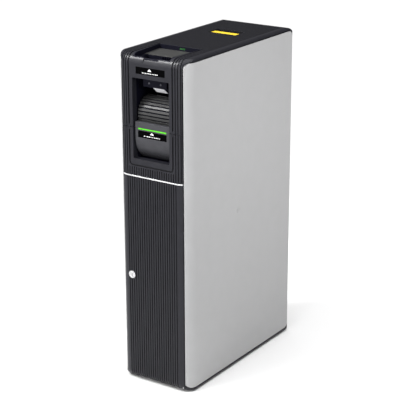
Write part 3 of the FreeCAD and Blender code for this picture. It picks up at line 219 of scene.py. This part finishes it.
def wear_group():
    """Mask of the corners that hands and cloths rub, broken up so no edge is evenly worn."""
    tree, given, out = shader_group(
        "edge_wear", {"Amount": 0.5, "Patches per Metre": 60.0}, {"Mask": "NodeSocketFloat"})
    flat = tree.nodes.new("ShaderNodeNewGeometry")
    round_off = tree.nodes.new("ShaderNodeBevel")
    round_off.samples = 4
    round_off.inputs["Radius"].default_value = 0.0012
    alike = tree.nodes.new("ShaderNodeVectorMath")
    alike.operation = "DOT_PRODUCT"
    tree.links.new(round_off.outputs["Normal"], alike.inputs[0])
    tree.links.new(flat.outputs["Normal"], alike.inputs[1])
    edge = ranged(tree, alike.outputs["Value"], From_Min=0.995, From_Max=0.86)
    patch = noise_of(tree, scaled_place(tree, given["Patches per Metre"]), Detail=5)
    both = math_of(tree, "MULTIPLY", edge, ranged(tree, patch, From_Min=0.42, From_Max=0.62))
    tree.links.new(math_of(tree, "MULTIPLY", both, given["Amount"], clamp=True), out["Mask"])
    return tree


def groove_group():
    """Painted shade in the grooves: what lies deep between two ribs is painted darker and made duller."""
    tree, given, out = shader_group(
        "groove_shade", {"Colour": (0.5, 0.5, 0.5, 1.0), "Roughness": 0.4, "Amount": 0.5},
        {"Colour": "NodeSocketColor", "Roughness": "NodeSocketFloat"})
    open_sky = tree.nodes.new("ShaderNodeAmbientOcclusion")
    open_sky.samples = 6
    open_sky.only_local = True
    open_sky.inputs["Distance"].default_value = 0.006
    deep = ranged(tree, open_sky.outputs["AO"], From_Min=0.85, From_Max=0.35)
    mask = math_of(tree, "MULTIPLY", deep, given["Amount"], clamp=True)
    # painted shade: the colour goes near black where an occlusion test finds the grooves deep
    tree.links.new(mixed(tree, mask, given["Colour"], (0.001, 0.001, 0.0015, 1)), out["Colour"])
    tree.links.new(mixed(tree, mask, given["Roughness"], 1.0), out["Roughness"])
    return tree


SURFACE_GRAIN = grain_group()
EDGE_WEAR = wear_group()
GROOVE_SHADE = groove_group()


def place_group(tree, group, **values):
    node = tree.nodes.new("ShaderNodeGroup")
    node.node_tree = group
    for name, value in values.items():
        node.inputs[name.replace("_", " ")].default_value = value
    return node


def finish_material(name, colour, worn, rough, metal=0.0, grains=900.0, pitting=0.5,
                    relief=0.00006, wear=0.5, mottle=0.10, mottles=9.0, coat=0.0, specular=0.5,
                    painted_shade=0.0):
    """A base finish: mottled colour, rubbed edges, uneven gloss and a grain in relief, and painted shade
    darkening the grooves when asked for.
    """
    unevenness = 0.07
    material = bpy.data.materials.new(name)
    material.use_nodes = True
    tree = material.node_tree
    shader = tree.nodes["Principled BSDF"]
    shader.inputs["Metallic"].default_value = metal
    shader.inputs["Coat Weight"].default_value = coat
    shader.inputs["Specular IOR Level"].default_value = specular
    grain = place_group(tree, SURFACE_GRAIN, Grains_per_Metre=grains, Mottle_per_Metre=mottles,
                        Pitting=pitting)
    edges = place_group(tree, EDGE_WEAR, Amount=wear)
    body = tree.nodes.new("ShaderNodeValToRGB")
    for stop, place, tone in ((0, 0.3, 1 - mottle), (1, 0.7, 1 + mottle)):
        body.color_ramp.elements[stop].position = place
        body.color_ramp.elements[stop].color = (*[min(c * tone, 1) for c in colour], 1)
    tree.links.new(grain.outputs["Mottle"], body.inputs["Fac"])
    tint = mixed(tree, edges.outputs["Mask"], body.outputs["Color"], (*worn, 1))
    matt = ranged(tree, grain.outputs["Mottle"], To_Min=max(rough - unevenness, 0.05),
                  To_Max=min(rough + unevenness, 1))
    # painted shade: deep grooves are darkened in colour and dulled
    if painted_shade:
        shade = place_group(tree, GROOVE_SHADE, Amount=painted_shade)
        tree.links.new(tint, shade.inputs["Colour"])
        tree.links.new(matt, shade.inputs["Roughness"])
        tint = shade.outputs["Colour"]
        matt = shade.outputs["Roughness"]
    bump = tree.nodes.new("ShaderNodeBump")
    bump.inputs["Distance"].default_value = relief
    bump.inputs["Strength"].default_value = 0.6
    tree.links.new(grain.outputs["Height"], bump.inputs["Height"])
    tree.links.new(tint, shader.inputs["Base Color"])
    tree.links.new(matt, shader.inputs["Roughness"])
    tree.links.new(bump.outputs["Normal"], shader.inputs["Normal"])
    return material


def coat_node(name, material):
    """Gives a carried-over part its finish."""
    for slot in nodes[name].material_slots:
        slot.material = material


CORNER = math.radians(32)


def finish_mesh(mesh):
    """Smooth shading that stops at the corners."""
    work = bmesh.new()
    work.from_mesh(mesh)
    for face in work.faces:
        face.smooth = True
    for edge in work.edges:
        edge.smooth = len(edge.link_faces) == 2 and edge.calc_face_angle(0) < CORNER
    work.to_mesh(mesh)
    work.free()


def merged_mesh(name, title):
    """A joined copy of a part's triangles, with its flat faces made whole."""
    weld = 0.000003
    flat = math.radians(0.25)
    source = nodes[name].data
    mesh = bpy.data.meshes.new(title)
    mesh.from_pydata([v.co[:] for v in source.vertices], [], [p.vertices[:] for p in source.polygons])
    work = bmesh.new()
    work.from_mesh(mesh)
    bmesh.ops.remove_doubles(work, verts=work.verts, dist=weld)
    bmesh.ops.dissolve_limit(work, angle_limit=flat, verts=work.verts, edges=work.edges,
                             use_dissolve_boundaries=False)
    work.to_mesh(mesh)
    work.free()
    return mesh


def show(mesh, title, material):
    mesh.materials.clear()
    mesh.materials.append(material)
    piece = bpy.data.objects.new(title, mesh)
    bpy.context.scene.collection.objects.link(piece)
    return piece


def soften(piece, radius, rows=2):
    """Rounds a piece's corners in this many rows of faces."""
    ease = piece.modifiers.new("eased corners", "BEVEL")
    ease.width = radius
    ease.segments = rows
    ease.limit_method = "ANGLE"
    ease.angle_limit = CORNER
    ease.harden_normals = True


def belongs(piece, body):
    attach(piece, body)


def eased(name, body, material, radius=0.0004, rows=2):
    """The part again with its corners softened, as a moulding or a pressing has them."""
    title = name + "_eased"
    piece = show(merged_mesh(name, title), title, material)
    finish_mesh(piece.data)
    soften(piece, radius, rows)
    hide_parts(name)
    belongs(piece, body)


# The anthracite carries painted shade in its grooves.
anthracite = finish_material("anthracite_moulding", (0.013, 0.013, 0.017), (0.055, 0.055, 0.06), 0.36,
                             wear=0.35, grains=1100, specular=0.24, painted_shade=0.9)
galvanised = finish_material("galvanised_sheet", (0.46, 0.47, 0.48), (0.62, 0.62, 0.63), 0.42, metal=1.0,
                             grains=160, pitting=0.9, relief=0.00002, mottle=0.18, mottles=70)
foot_rubber = finish_material("foot_rubber", (0.018, 0.018, 0.018), (0.06, 0.06, 0.06), 0.8)
eased("base_skirt", "cabinet", anthracite)
coat_node("base_plate", galvanised)
coat_node("levelling_feet", foot_rubber)


# ---------------------------------------------------------------- walls and side panels
# Folded steel walls stand on the pan. Each carries a rolled-edge aluminium panel, powder
# coated silver grey, held by one screw under a push-in cap.

black_coat = finish_material("black_powder_coat", (0.03, 0.03, 0.033), (0.22, 0.22, 0.22), 0.5, wear=0.4,
                             grains=1500, pitting=0.2)
silver_coat = finish_material("silver_powder_coat", (0.37, 0.37, 0.374), (0.47, 0.47, 0.48), 0.42,
                              grains=1300, pitting=0.15, relief=0.00003, wear=0.3, mottle=0.02, mottles=5)
for wall in ("right_wall", "left_wall"):
    coat_node(wall, black_coat)
for panel in ("right_side_panel", "left_side_panel"):
    eased(panel, "cabinet", silver_coat, radius=0.0006)
eased("panel_caps", "cabinet", silver_coat, radius=0.0005, rows=3)
coat_node("top_crossbar", galvanised)
coat_node("mid_shelf", galvanised)
black_moulding = finish_material("black_moulding", (0.006, 0.006, 0.009), (0.04, 0.04, 0.045), 0.42,
                                 specular=0.25)
coat_node("magnet_catches", black_moulding)


# ---------------------------------------------------------------- rear panel and cap
# The back is a pressed steel panel, coated black, with louvres in its lower half and a
# window for the fan. A moulded cap closes the top rear edge and holds the cover's hinge pins.

eased("rear_panel", "cabinet", black_coat)
eased("rear_cap", "cabinet", anthracite)


def shape_tree(name, sizes):
    """A Geometry Nodes tree with one number input for each size, in metres or radians."""
    tree = bpy.data.node_groups.new(name, "GeometryNodeTree")
    tree.interface.new_socket(name="Geometry", in_out="INPUT", socket_type="NodeSocketGeometry")
    for size, value in sizes.items():
        kind = "NodeSocketInt" if isinstance(value, int) else "NodeSocketFloat"
        made = tree.interface.new_socket(name=size, in_out="INPUT", socket_type=kind)
        made.default_value = value
    tree.interface.new_socket(name="Finish", in_out="INPUT", socket_type="NodeSocketMaterial")
    tree.interface.new_socket(name="Geometry", in_out="OUTPUT", socket_type="NodeSocketGeometry")
    return tree, tree.nodes.new("NodeGroupInput").outputs, tree.nodes.new("NodeGroupOutput").inputs


def vector_of(tree, x=0.0, y=0.0, z=0.0):
    node = tree.nodes.new("ShaderNodeCombineXYZ")
    for socket, value in zip(node.inputs, (x, y, z)):
        feed(tree, value, socket)
    return node.outputs["Vector"]


def box_of(tree, x, y, z):
    node = tree.nodes.new("GeometryNodeMeshCube")
    tree.links.new(vector_of(tree, x, y, z), node.inputs["Size"])
    return node.outputs["Mesh"]


def moved(tree, geometry, place=None, turn=None, scale=None):
    node = tree.nodes.new("GeometryNodeTransform")
    for name, source in (("Geometry", geometry), ("Translation", place), ("Rotation", turn),
                         ("Scale", scale)):
        feed(tree, source, node.inputs[name])
    return node.outputs["Geometry"]


def joined(tree, *parts):
    node = tree.nodes.new("GeometryNodeJoinGeometry")
    for part in parts:
        tree.links.new(part, node.inputs["Geometry"])
    return node.outputs["Geometry"]


def index_of(tree):
    return tree.nodes.new("GeometryNodeInputIndex").outputs["Index"]


def row_of(tree, count, piece, place, turn=None, scale=None):
    """Copies of piece on count points; place, turn and scale may use the Index field."""
    line = tree.nodes.new("GeometryNodeMeshLine")
    put = tree.nodes.new("GeometryNodeSetPosition")
    copies = tree.nodes.new("GeometryNodeInstanceOnPoints")
    tree.links.new(count, line.inputs["Count"])
    tree.links.new(line.outputs["Mesh"], put.inputs["Geometry"])
    tree.links.new(place, put.inputs["Position"])
    tree.links.new(put.outputs["Geometry"], copies.inputs["Points"])
    for name, source in (("Instance", piece), ("Rotation", turn), ("Scale", scale)):
        feed(tree, source, copies.inputs[name])
    return copies.outputs["Instances"]


def close_tree(tree, given, out, geometry):
    """Realises the copies and gives them the finish."""
    real = tree.nodes.new("GeometryNodeRealizeInstances")
    coat = tree.nodes.new("GeometryNodeSetMaterial")
    tree.links.new(geometry, real.inputs["Geometry"])
    tree.links.new(real.outputs["Geometry"], coat.inputs["Geometry"])
    tree.links.new(given["Finish"], coat.inputs["Material"])
    tree.links.new(coat.outputs["Geometry"], out["Geometry"])
    return tree


def grown(title, tree, material, **sizes):
    """A plain mesh grown by the tree with these sizes."""
    seed = bpy.data.objects.new(title + "_seed", bpy.data.meshes.new(title + "_seed"))
    bpy.context.scene.collection.objects.link(seed)
    modifier = seed.modifiers.new("grow", "NODES")
    modifier.node_group = tree
    values = {name.replace("_", " "): value for name, value in sizes.items()}
    values["Finish"] = material
    for item in tree.interface.items_tree:
        if item.in_out == "INPUT" and item.name in values:
            modifier[item.identifier] = values[item.name]
    ready = seed.evaluated_get(bpy.context.evaluated_depsgraph_get())
    mesh = bpy.data.meshes.new_from_object(ready)
    mesh.name = title
    bpy.data.objects.remove(seed)
    piece = show(mesh, title, material)
    finish_mesh(mesh)
    return piece


def louvre_tree():
    """A column of leaning blades, one behind each slot."""
    tree, given, out = shape_tree("louvre_blades", {
        "Slots": 14, "Lowest": 0.3325, "Pitch": 0.016, "Half Width": 0.069, "Blade": 0.0058,
        "Sheet": 0.0009, "Depth": 0.2796, "Lean": 0.61})
    height = math_of(tree, "MULTIPLY_ADD", index_of(tree), given["Pitch"], given["Lowest"])
    width = math_of(tree, "MULTIPLY", given["Half Width"], 2.0)
    blade = moved(tree, box_of(tree, width, given["Sheet"], given["Blade"]),
                  turn=vector_of(tree, given["Lean"]))
    row = row_of(tree, given["Slots"], blade, vector_of(tree, 0.0, given["Depth"], height))
    return close_tree(tree, given, out, row)


louvres = grown("rear_louvre_blades", louvre_tree(), black_coat)
belongs(louvres, "cabinet")


def circle_of(tree, corners, radius):
    node = tree.nodes.new("GeometryNodeCurvePrimitiveCircle")
    node.inputs["Resolution"].default_value = corners
    feed(tree, radius, node.inputs["Radius"])
    return node.outputs["Curve"]


def swept(tree, curve, profile, capped=False):
    node = tree.nodes.new("GeometryNodeCurveToMesh")
    node.inputs["Fill Caps"].default_value = capped
    tree.links.new(curve, node.inputs["Curve"])
    tree.links.new(profile, node.inputs["Profile Curve"])
    return node.outputs["Mesh"]


def guard_tree():
    """Wire rings round the fan's middle, with four spokes across them."""
    tree, given, out = shape_tree("fan_guard_wires", {
        "Rings": 4, "Pitch": 0.0088, "Wire": 0.0009, "Height": 0.880, "Depth": 0.2803})
    radius = math_of(tree, "MULTIPLY", math_of(tree, "ADD", index_of(tree), 1.0), given["Pitch"])
    rings = row_of(tree, given["Rings"], circle_of(tree, 64, 1.0), vector_of(tree),
                   scale=vector_of(tree, radius, radius, radius))
    real = tree.nodes.new("GeometryNodeRealizeInstances")
    tree.links.new(rings, real.inputs["Geometry"])
    wires = swept(tree, real.outputs["Geometry"], circle_of(tree, 10, given["Wire"]))
    upright = moved(tree, wires, turn=vector_of(tree, math.pi / 2))
    overhang = 0.35
    reach = math_of(tree, "MULTIPLY", math_of(tree, "ADD", given["Rings"], overhang), given["Pitch"])
    rod = tree.nodes.new("GeometryNodeMeshCylinder")
    rod.inputs["Vertices"].default_value = 12
    tree.links.new(given["Wire"], rod.inputs["Radius"])
    tree.links.new(math_of(tree, "MULTIPLY", reach, 2.0), rod.inputs["Depth"])
    behind = vector_of(tree, 0.0, math_of(tree, "MULTIPLY", given["Wire"], -1.2), 0.0)
    spokes = [moved(tree, moved(tree, rod.outputs["Mesh"], turn=vector_of(tree, 0.0, turn)), place=behind)
              for turn in (math.pi / 4, -math.pi / 4)]
    whole = joined(tree, upright, *spokes)
    placed = moved(tree, whole, place=vector_of(tree, 0.0, given["Depth"], given["Height"]))
    return close_tree(tree, given, out, placed)


bright_wire = finish_material("plated_wire", (0.62, 0.62, 0.63), (0.75, 0.75, 0.75), 0.25, metal=1.0,
                              relief=0.000008, wear=0.1)
belongs(grown("fan_guard", guard_tree(), bright_wire), "cabinet")
ground_steel = finish_material("ground_steel", (0.56, 0.56, 0.57), (0.7, 0.7, 0.7), 0.28, metal=1.0,
                               relief=0.00001, wear=0.2)
coat_node("cover_hinge_pins", ground_steel)
coat_node("fan_frame", black_moulding)
coat_node("fan_rotor", black_moulding)
coat_node("mains_inlet", black_moulding)
red_moulding = finish_material("red_moulding", (0.45, 0.02, 0.02), (0.6, 0.1, 0.1), 0.3, coat=0.4)
coat_node("power_rocker", red_moulding)


# ---------------------------------------------------------------- electrics in the cabinet
# A boxed power supply on the left wall and the controller's steel case on the right wall.

cast_aluminium = finish_material("blasted_aluminium", (0.52, 0.52, 0.53), (0.7, 0.7, 0.71), 0.5, metal=1.0,
                                 grains=1800)
coat_node("power_supply", cast_aluminium)
coat_node("controller_box", black_coat)


# ---------------------------------------------------------------- white trim strip
# An extruded white strip, pushed on to the shelf's front edge, between door and bezel.

white_extrusion = finish_material("white_extrusion", (0.60, 0.60, 0.61), (0.7, 0.7, 0.7), 0.4,
                                  relief=0.00002, mottle=0.02, wear=0.2)
eased("trim_strip", "cabinet", white_extrusion)


# ---------------------------------------------------------------- door and lock
# The door is a ribbed moulding with a folded steel pan behind it, on two pins down the
# right-hand edge. A chromed cam lock goes through its left-hand stile.

satin_chrome = finish_material("satin_chrome", (0.72, 0.72, 0.73), (0.85, 0.85, 0.85), 0.16, metal=1.0,
                               relief=0.000008, wear=0.2, mottle=0.04)
eased("door_panel", "door", anthracite, radius=0.0007, rows=3)
coat_node("door_stiffener", galvanised)
coat_node("door_hinge_pins", ground_steel)
eased("lock_barrel", "door", satin_chrome, radius=0.0006, rows=3)
eased("lock_plug", "lock", satin_chrome, radius=0.0004)
coat_node("lock_cam", ground_steel)
coat_node("lock_strike", galvanised)


# ---------------------------------------------------------------- bezel and tilting head
# Two mouldings make the frame of the front bay: a fixed lower bezel, and the head, which
# tilts forward on two pins to change the ticket roll.

eased("lower_bezel", "cabinet", anthracite, radius=0.0006, rows=3)
eased("head_shell", "head", anthracite, radius=0.0006, rows=3)
coat_node("head_hinge_pins", ground_steel)
label_film = finish_material("black_label_film", (0.001, 0.001, 0.0012), (0.01, 0.01, 0.01), 0.5,
                             relief=0.000005, wear=0.1, specular=0.01)
eased("head_label", "head", label_film, radius=0.0002)
HEAD_LABEL_FACE = -0.28195


def from_middle(tree, count):
    """Each copy's number in its row, counted from the row's middle."""
    half = math_of(tree, "MULTIPLY", math_of(tree, "SUBTRACT", count, 1.0), 0.5)
    return math_of(tree, "SUBTRACT", index_of(tree), half)


def legend_tree():
    """A broken row of small bars, in place of lettering, each of its own chance width."""
    tree, given, out = shape_tree("legend_bars", {
        "Bars": 10, "Middle": -0.001, "Pitch": 0.0056, "Narrow": 0.0022, "Wide": 0.0042,
        "Bar Height": 0.0022, "Height": 0.949, "Depth": HEAD_LABEL_FACE, "Film": 0.0001, "Seed": 4})
    x = math_of(tree, "MULTIPLY_ADD", from_middle(tree, given["Bars"]), given["Pitch"], given["Middle"])
    # inputs 2 and 3 and output 1 are the number ones of the sockets that share a name
    chance = tree.nodes.new("FunctionNodeRandomValue")
    tree.links.new(given["Narrow"], chance.inputs[2])
    tree.links.new(given["Wide"], chance.inputs[3])
    tree.links.new(given["Seed"], chance.inputs["Seed"])
    bar = box_of(tree, 1.0, given["Film"], given["Bar Height"])
    row = row_of(tree, given["Bars"], bar, vector_of(tree, x, given["Depth"], given["Height"]),
                 scale=vector_of(tree, chance.outputs[1], 1.0, 1.0))
    return close_tree(tree, given, out, row)


def legend_arrow(title, x, y, z, material):
    """A printed triangle that points up, as thin as its ink."""
    width, height, ink = 0.013, 0.0065, 0.0001
    corners = [(x - width / 2, z), (x + width / 2, z), (x, z + height)]
    points = [(u, depth, v) for depth in (y - ink / 2, y + ink / 2) for u, v in corners]
    mesh = bpy.data.meshes.new(title)
    mesh.from_pydata(points, [], [(0, 1, 2), (5, 4, 3), (0, 3, 4, 1), (1, 4, 5, 2), (2, 5, 3, 0)])
    return show(mesh, title, material)


LEGEND = legend_tree()
white_ink = finish_material("white_ink", (0.85, 0.85, 0.85), (0.8, 0.8, 0.8), 0.5, relief=0.000002,
                            wear=0.1, mottle=0.05, mottles=400)
belongs(grown("head_legend", LEGEND, white_ink), "head")
belongs(legend_arrow("head_arrow", -0.002, HEAD_LABEL_FACE, 0.9555, white_ink), "head")


# ---------------------------------------------------------------- feed tray
# A black tray moulding lies in the head's top. Its sloping plate is satin grey steel, and
# a green lamp window looks out of the step behind the plate.

liner_and_drum_shade = finish_material("liner_and_drum_shade", (0.003, 0.003, 0.008), (0.012, 0.012, 0.02), 0.6,
                                 specular=0.1)
tray_coat = finish_material("satin_grey_plate", (0.036, 0.036, 0.035), (0.14, 0.14, 0.14), 0.4, grains=1500,
                            relief=0.00002, specular=0.35)
eased("tray_dish", "head", liner_and_drum_shade, radius=0.0005)
eased("tray_plate", "head", tray_coat)


def lit_window(name, colour, dark, strength):
    """A tinted window with small lamps behind it, so its glow is uneven along its length."""
    material = finish_material(name, colour, colour, 0.25, relief=0.000008, wear=0.0)
    tree = material.node_tree
    shader = tree.nodes["Principled BSDF"]
    shader.inputs["Emission Strength"].default_value = strength
    where = tree.nodes.new("ShaderNodeTexCoord")
    lamps = tree.nodes.new("ShaderNodeTexWave")
    lamps.inputs["Scale"].default_value = 26
    glow = tree.nodes.new("ShaderNodeValToRGB")
    glow.color_ramp.elements[0].color = (*dark, 1)
    glow.color_ramp.elements[1].color = (*colour, 1)
    tree.links.new(where.outputs["Object"], lamps.inputs["Vector"])
    tree.links.new(lamps.outputs["Fac"], glow.inputs["Fac"])
    tree.links.new(glow.outputs["Color"], shader.inputs["Emission Color"])
    return material


coat_node("tray_lens", lit_window("dim_green_window", (0.006, 0.06, 0.01), (0.002, 0.03, 0.004), 0.25))


# ---------------------------------------------------------------- front bay
# A dark moulded liner stands behind the bezel. The inlet chute, with its two screws, ends in
# a lip with a pale strip on its sloping face. Below it a slatted drum shutter turns on its axle, over the
# swept outlet cover and the green light bar along the cover's top edge.

shutter_moulding = finish_material("shutter_moulding", (0.026, 0.026, 0.026), (0.09, 0.09, 0.09), 0.42,
                                   specular=0.3)
coat_node("bay_liner", liner_and_drum_shade)
coat_node("inlet_chute", liner_and_drum_shade)
eased("chute_lip", "cabinet", liner_and_drum_shade, radius=0.0003)


def sloping_strip(title, half, low, high, thick, material):
    """A flat strip between two (y, z) edges, this thick on its front and lower side."""
    run = Vector((high[0] - low[0], high[1] - low[1])).normalized()
    out = Vector((-run.y, run.x)) * thick
    profile = [Vector(low), Vector(high), Vector(high) + out, Vector(low) + out]
    mesh = bpy.data.meshes.new(title)
    mesh.from_pydata([(x, *p) for x in (-half, half) for p in profile], [],
                     [(0, 1, 2, 3), (7, 6, 5, 4), (0, 4, 5, 1), (1, 5, 6, 2), (2, 6, 7, 3), (3, 7, 4, 0)])
    work = bmesh.new()
    work.from_mesh(mesh)
    bmesh.ops.recalc_face_normals(work, faces=work.faces)
    work.to_mesh(mesh)
    work.free()
    piece = show(mesh, title, material)
    soften(piece, thick * 0.3)
    return piece


# A pale strip laid on the lip's sloping face.
pale_strip = finish_material("pale_lip_band", (0.85, 0.85, 0.88), (0.9, 0.9, 0.92), 0.35,
                             relief=0.00001, mottle=0.03, wear=0.1)
lip_band_piece = sloping_strip("lip_pale_band", 0.0195, (-0.2240, 0.8842), (-0.2422, 0.8994), 0.0006,
                           pale_strip)
belongs(lip_band_piece, "cabinet")


def screw_tree():
    """Domed cross-recessed heads in a row."""
    tree, given, out = shape_tree("dome_head_screws", {
        "Screws": 2, "Spacing": 0.04, "Head Radius": 0.0031, "Dome": 0.0014, "Slot": 0.0008,
        "Depth": -0.2600, "Height": 0.916})
    ball = tree.nodes.new("GeometryNodeMeshUVSphere")
    ball.inputs["Segments"].default_value = 32
    ball.inputs["Rings"].default_value = 16
    ball.inputs["Radius"].default_value = 1.0
    head = moved(tree, ball.outputs["Mesh"], scale=vector_of(
        tree, given["Head Radius"], given["Dome"], given["Head Radius"]))
    long = math_of(tree, "MULTIPLY", given["Head Radius"], 1.1)
    front = vector_of(tree, 0.0, math_of(tree, "MULTIPLY", given["Dome"], -1.0), 0.0)
    deep = math_of(tree, "MULTIPLY", given["Dome"], 1.2)
    cross = [moved(tree, box_of(tree, long, deep, given["Slot"]), place=front),
             moved(tree, box_of(tree, given["Slot"], deep, long), place=front)]
    cut = tree.nodes.new("GeometryNodeMeshBoolean")
    cut.operation = "DIFFERENCE"
    tree.links.new(head, cut.inputs["Mesh 1"])
    for blade in cross:
        tree.links.new(blade, cut.inputs["Mesh 2"])
    x = math_of(tree, "MULTIPLY", from_middle(tree, given["Screws"]), given["Spacing"])
    row = row_of(tree, given["Screws"], cut.outputs["Mesh"],
                 vector_of(tree, x, given["Depth"], given["Height"]))
    return close_tree(tree, given, out, row)


blued_steel = finish_material("blued_steel", (0.10, 0.10, 0.115), (0.3, 0.3, 0.3), 0.45, metal=1.0,
                              wear=0.2)
screws = grown("chute_screw_heads", screw_tree(), blued_steel)
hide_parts("chute_screws")
belongs(screws, "cabinet")
cover_moulding = finish_material("outlet_cover_moulding", (0.042, 0.042, 0.047), (0.09, 0.09, 0.1), 0.45,
                                 grains=1100, specular=0.14)
eased("outlet_cover", "cabinet", cover_moulding, radius=0.0006, rows=3)
eased("outlet_label", "cabinet", label_film, radius=0.0002)
OUTLET_LABEL_FACE = -0.27595
outlet_legend = grown("outlet_legend", LEGEND, white_ink, Height=0.7655, Depth=OUTLET_LABEL_FACE,
                      Seed=9, Pitch=0.0058)
belongs(outlet_legend, "cabinet")
belongs(legend_arrow("outlet_arrow", -0.001, OUTLET_LABEL_FACE, 0.7718, white_ink), "cabinet")
coat_node("led_strip", lit_window("green_light_bar", (0.06, 0.38, 0.01), (0.05, 0.22, 0.008), 0.5))


AXIS_DEPTH, AXIS_HEIGHT = -0.215, 0.822
SHUTTER_HALF_WIDTH = 0.0576


def slat_tree():
    """A row of slats round a level axis, each leaning a little so its top edge laps the next."""
    tree, given, out = shape_tree("shutter_slats", {
        "Slats": 10, "First": -0.318, "Step": 0.2094, "Radius": 0.0486,
        "Half Width": SHUTTER_HALF_WIDTH, "Slat": 0.0064, "Sheet": 0.0026, "Lean": 0.10,
        "Axis Depth": AXIS_DEPTH, "Axis Height": AXIS_HEIGHT})
    turn = math_of(tree, "MULTIPLY_ADD", index_of(tree), given["Step"], given["First"])
    y = math_of(tree, "MULTIPLY", math_of(tree, "COSINE", turn), given["Radius"])
    z = math_of(tree, "MULTIPLY", math_of(tree, "SINE", turn), given["Radius"])
    lean = math_of(tree, "MULTIPLY", math_of(tree, "ADD", turn, given["Lean"]), -1.0)
    width = math_of(tree, "MULTIPLY", given["Half Width"], 2.0)
    slat = box_of(tree, width, given["Sheet"], given["Slat"])
    slats = row_of(tree, given["Slats"], slat,
                   vector_of(tree, 0.0, math_of(tree, "SUBTRACT", given["Axis Depth"], y),
                             math_of(tree, "ADD", given["Axis Height"], z)), vector_of(tree, lean))
    return close_tree(tree, given, out, slats)


def arc_of(tree, given, **fixed):
    """An arc in the drum's own plane, from its low edge to its high one."""
    arc = tree.nodes.new("GeometryNodeCurveArc")
    arc.inputs["Resolution"].default_value = 48
    for socket, value in fixed.items():
        arc.inputs[socket.replace("_", " ")].default_value = value
    for socket, size in (("Radius", "Shell"), ("Start Angle", "Start"), ("Sweep Angle", "Sweep")):
        tree.links.new(given[size], arc.inputs[socket])
    return arc.outputs["Curve"]


def drum_tree():
    """A thin curved shell with a wedge-shaped cheek at each end, turned on to a level axis."""
    tree, given, out = shape_tree("shutter_drum", {
        "Shell": 0.0452, "Start": -0.4189, "Sweep": 2.1642, "Half Width": SHUTTER_HALF_WIDTH,
        "Sheet": 0.0020, "Cheek": 0.0028, "Axis Depth": AXIS_DEPTH, "Axis Height": AXIS_HEIGHT})
    width = math_of(tree, "MULTIPLY", given["Half Width"], 2.0)
    strip = tree.nodes.new("GeometryNodeCurvePrimitiveQuadrilateral")
    tree.links.new(given["Sheet"], strip.inputs["Width"])
    tree.links.new(width, strip.inputs["Height"])
    shell = swept(tree, arc_of(tree, given), strip.outputs["Curve"], capped=True)
    face = tree.nodes.new("GeometryNodeFillCurve")
    tree.links.new(arc_of(tree, given, Connect_Center=True), face.inputs["Curve"])
    raised = tree.nodes.new("GeometryNodeExtrudeMesh")
    raised.inputs["Individual"].default_value = False
    tree.links.new(face.outputs["Mesh"], raised.inputs["Mesh"])
    tree.links.new(given["Cheek"], raised.inputs["Offset Scale"])
    under = tree.nodes.new("GeometryNodeFlipFaces")
    tree.links.new(face.outputs["Mesh"], under.inputs["Mesh"])
    cheek = joined(tree, raised.outputs["Mesh"], under.outputs["Mesh"])
    inner = math_of(tree, "SUBTRACT", given["Half Width"], given["Cheek"])
    outer = math_of(tree, "MULTIPLY", given["Half Width"], -1.0)
    cheeks = [moved(tree, cheek, place=vector_of(tree, 0.0, 0.0, offset)) for offset in (inner, outer)]
    level = moved(tree, joined(tree, shell, *cheeks),
                  turn=vector_of(tree, math.pi / 2, 0.0, -math.pi / 2))
    middle = vector_of(tree, 0.0, given["Axis Depth"], given["Axis Height"])
    return close_tree(tree, given, out, moved(tree, level, place=middle))


# The drum's shell takes the near-black liner colour, darker than the slats, as painted shade in the gaps
# between the slats.
drum = grown("shutter_drum", drum_tree(), liner_and_drum_shade)
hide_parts("outlet_shutter")
belongs(drum, "shutter")
slats = grown("shutter_slats", slat_tree(), shutter_moulding)
soften(slats, 0.0005)
belongs(slats, "shutter")
coat_node("shutter_axle", ground_steel)


# ---------------------------------------------------------------- inlet rollers
# Two rubber rollers in a folded frame draw a ticket in from the tray's pocket.

roller_rubber = finish_material("roller_rubber", (0.02, 0.02, 0.02), (0.07, 0.07, 0.07), 0.7, grains=2200)
coat_node("inlet_frame", galvanised)
coat_node("inlet_roller", roller_rubber)
coat_node("pinch_roller", roller_rubber)


# ---------------------------------------------------------------- printer and ticket roll
# A thermal printer stands on the shelf: folded frame, rubber platen, print head, stepper
# motor. The roll of ticket paper turns on a spindle behind it.

paper = finish_material("ticket_paper", (0.80, 0.78, 0.72), (0.86, 0.85, 0.8), 0.85, grains=2600,
                        relief=0.00002, wear=0.2)
card = finish_material("core_card", (0.42, 0.31, 0.19), (0.5, 0.4, 0.28), 0.9, grains=1200)
coat_node("printer_frame", galvanised)
coat_node("platen_roller", roller_rubber)
coat_node("print_head", cast_aluminium)
coat_node("printer_motor", black_coat)
coat_node("reel_stand", galvanised)
coat_node("reel_spindle", ground_steel)
coat_node("ticket_reel", paper)
coat_node("reel_core", card)


# ---------------------------------------------------------------- ticket bin
# A folded galvanised bin on the cabinet floor, behind the door.

coat_node("ticket_bin", galvanised)


# ---------------------------------------------------------------- top cover and pull
# The ribbed cover hinges up at its rear edge. A finger tub is let into it, with a yellow
# pull on a steel pin.

yellow_moulding = finish_material("yellow_moulding", (0.90, 0.63, 0.03), (0.95, 0.75, 0.2), 0.34, wear=0.3,
                                  mottle=0.05)
eased("top_cover", "cover", anthracite, radius=0.0006, rows=3)
eased("pull_tub", "cover", black_moulding)
eased("pull_bar", "pull", yellow_moulding, radius=0.001, rows=3)
coat_node("pull_pin", ground_steel)
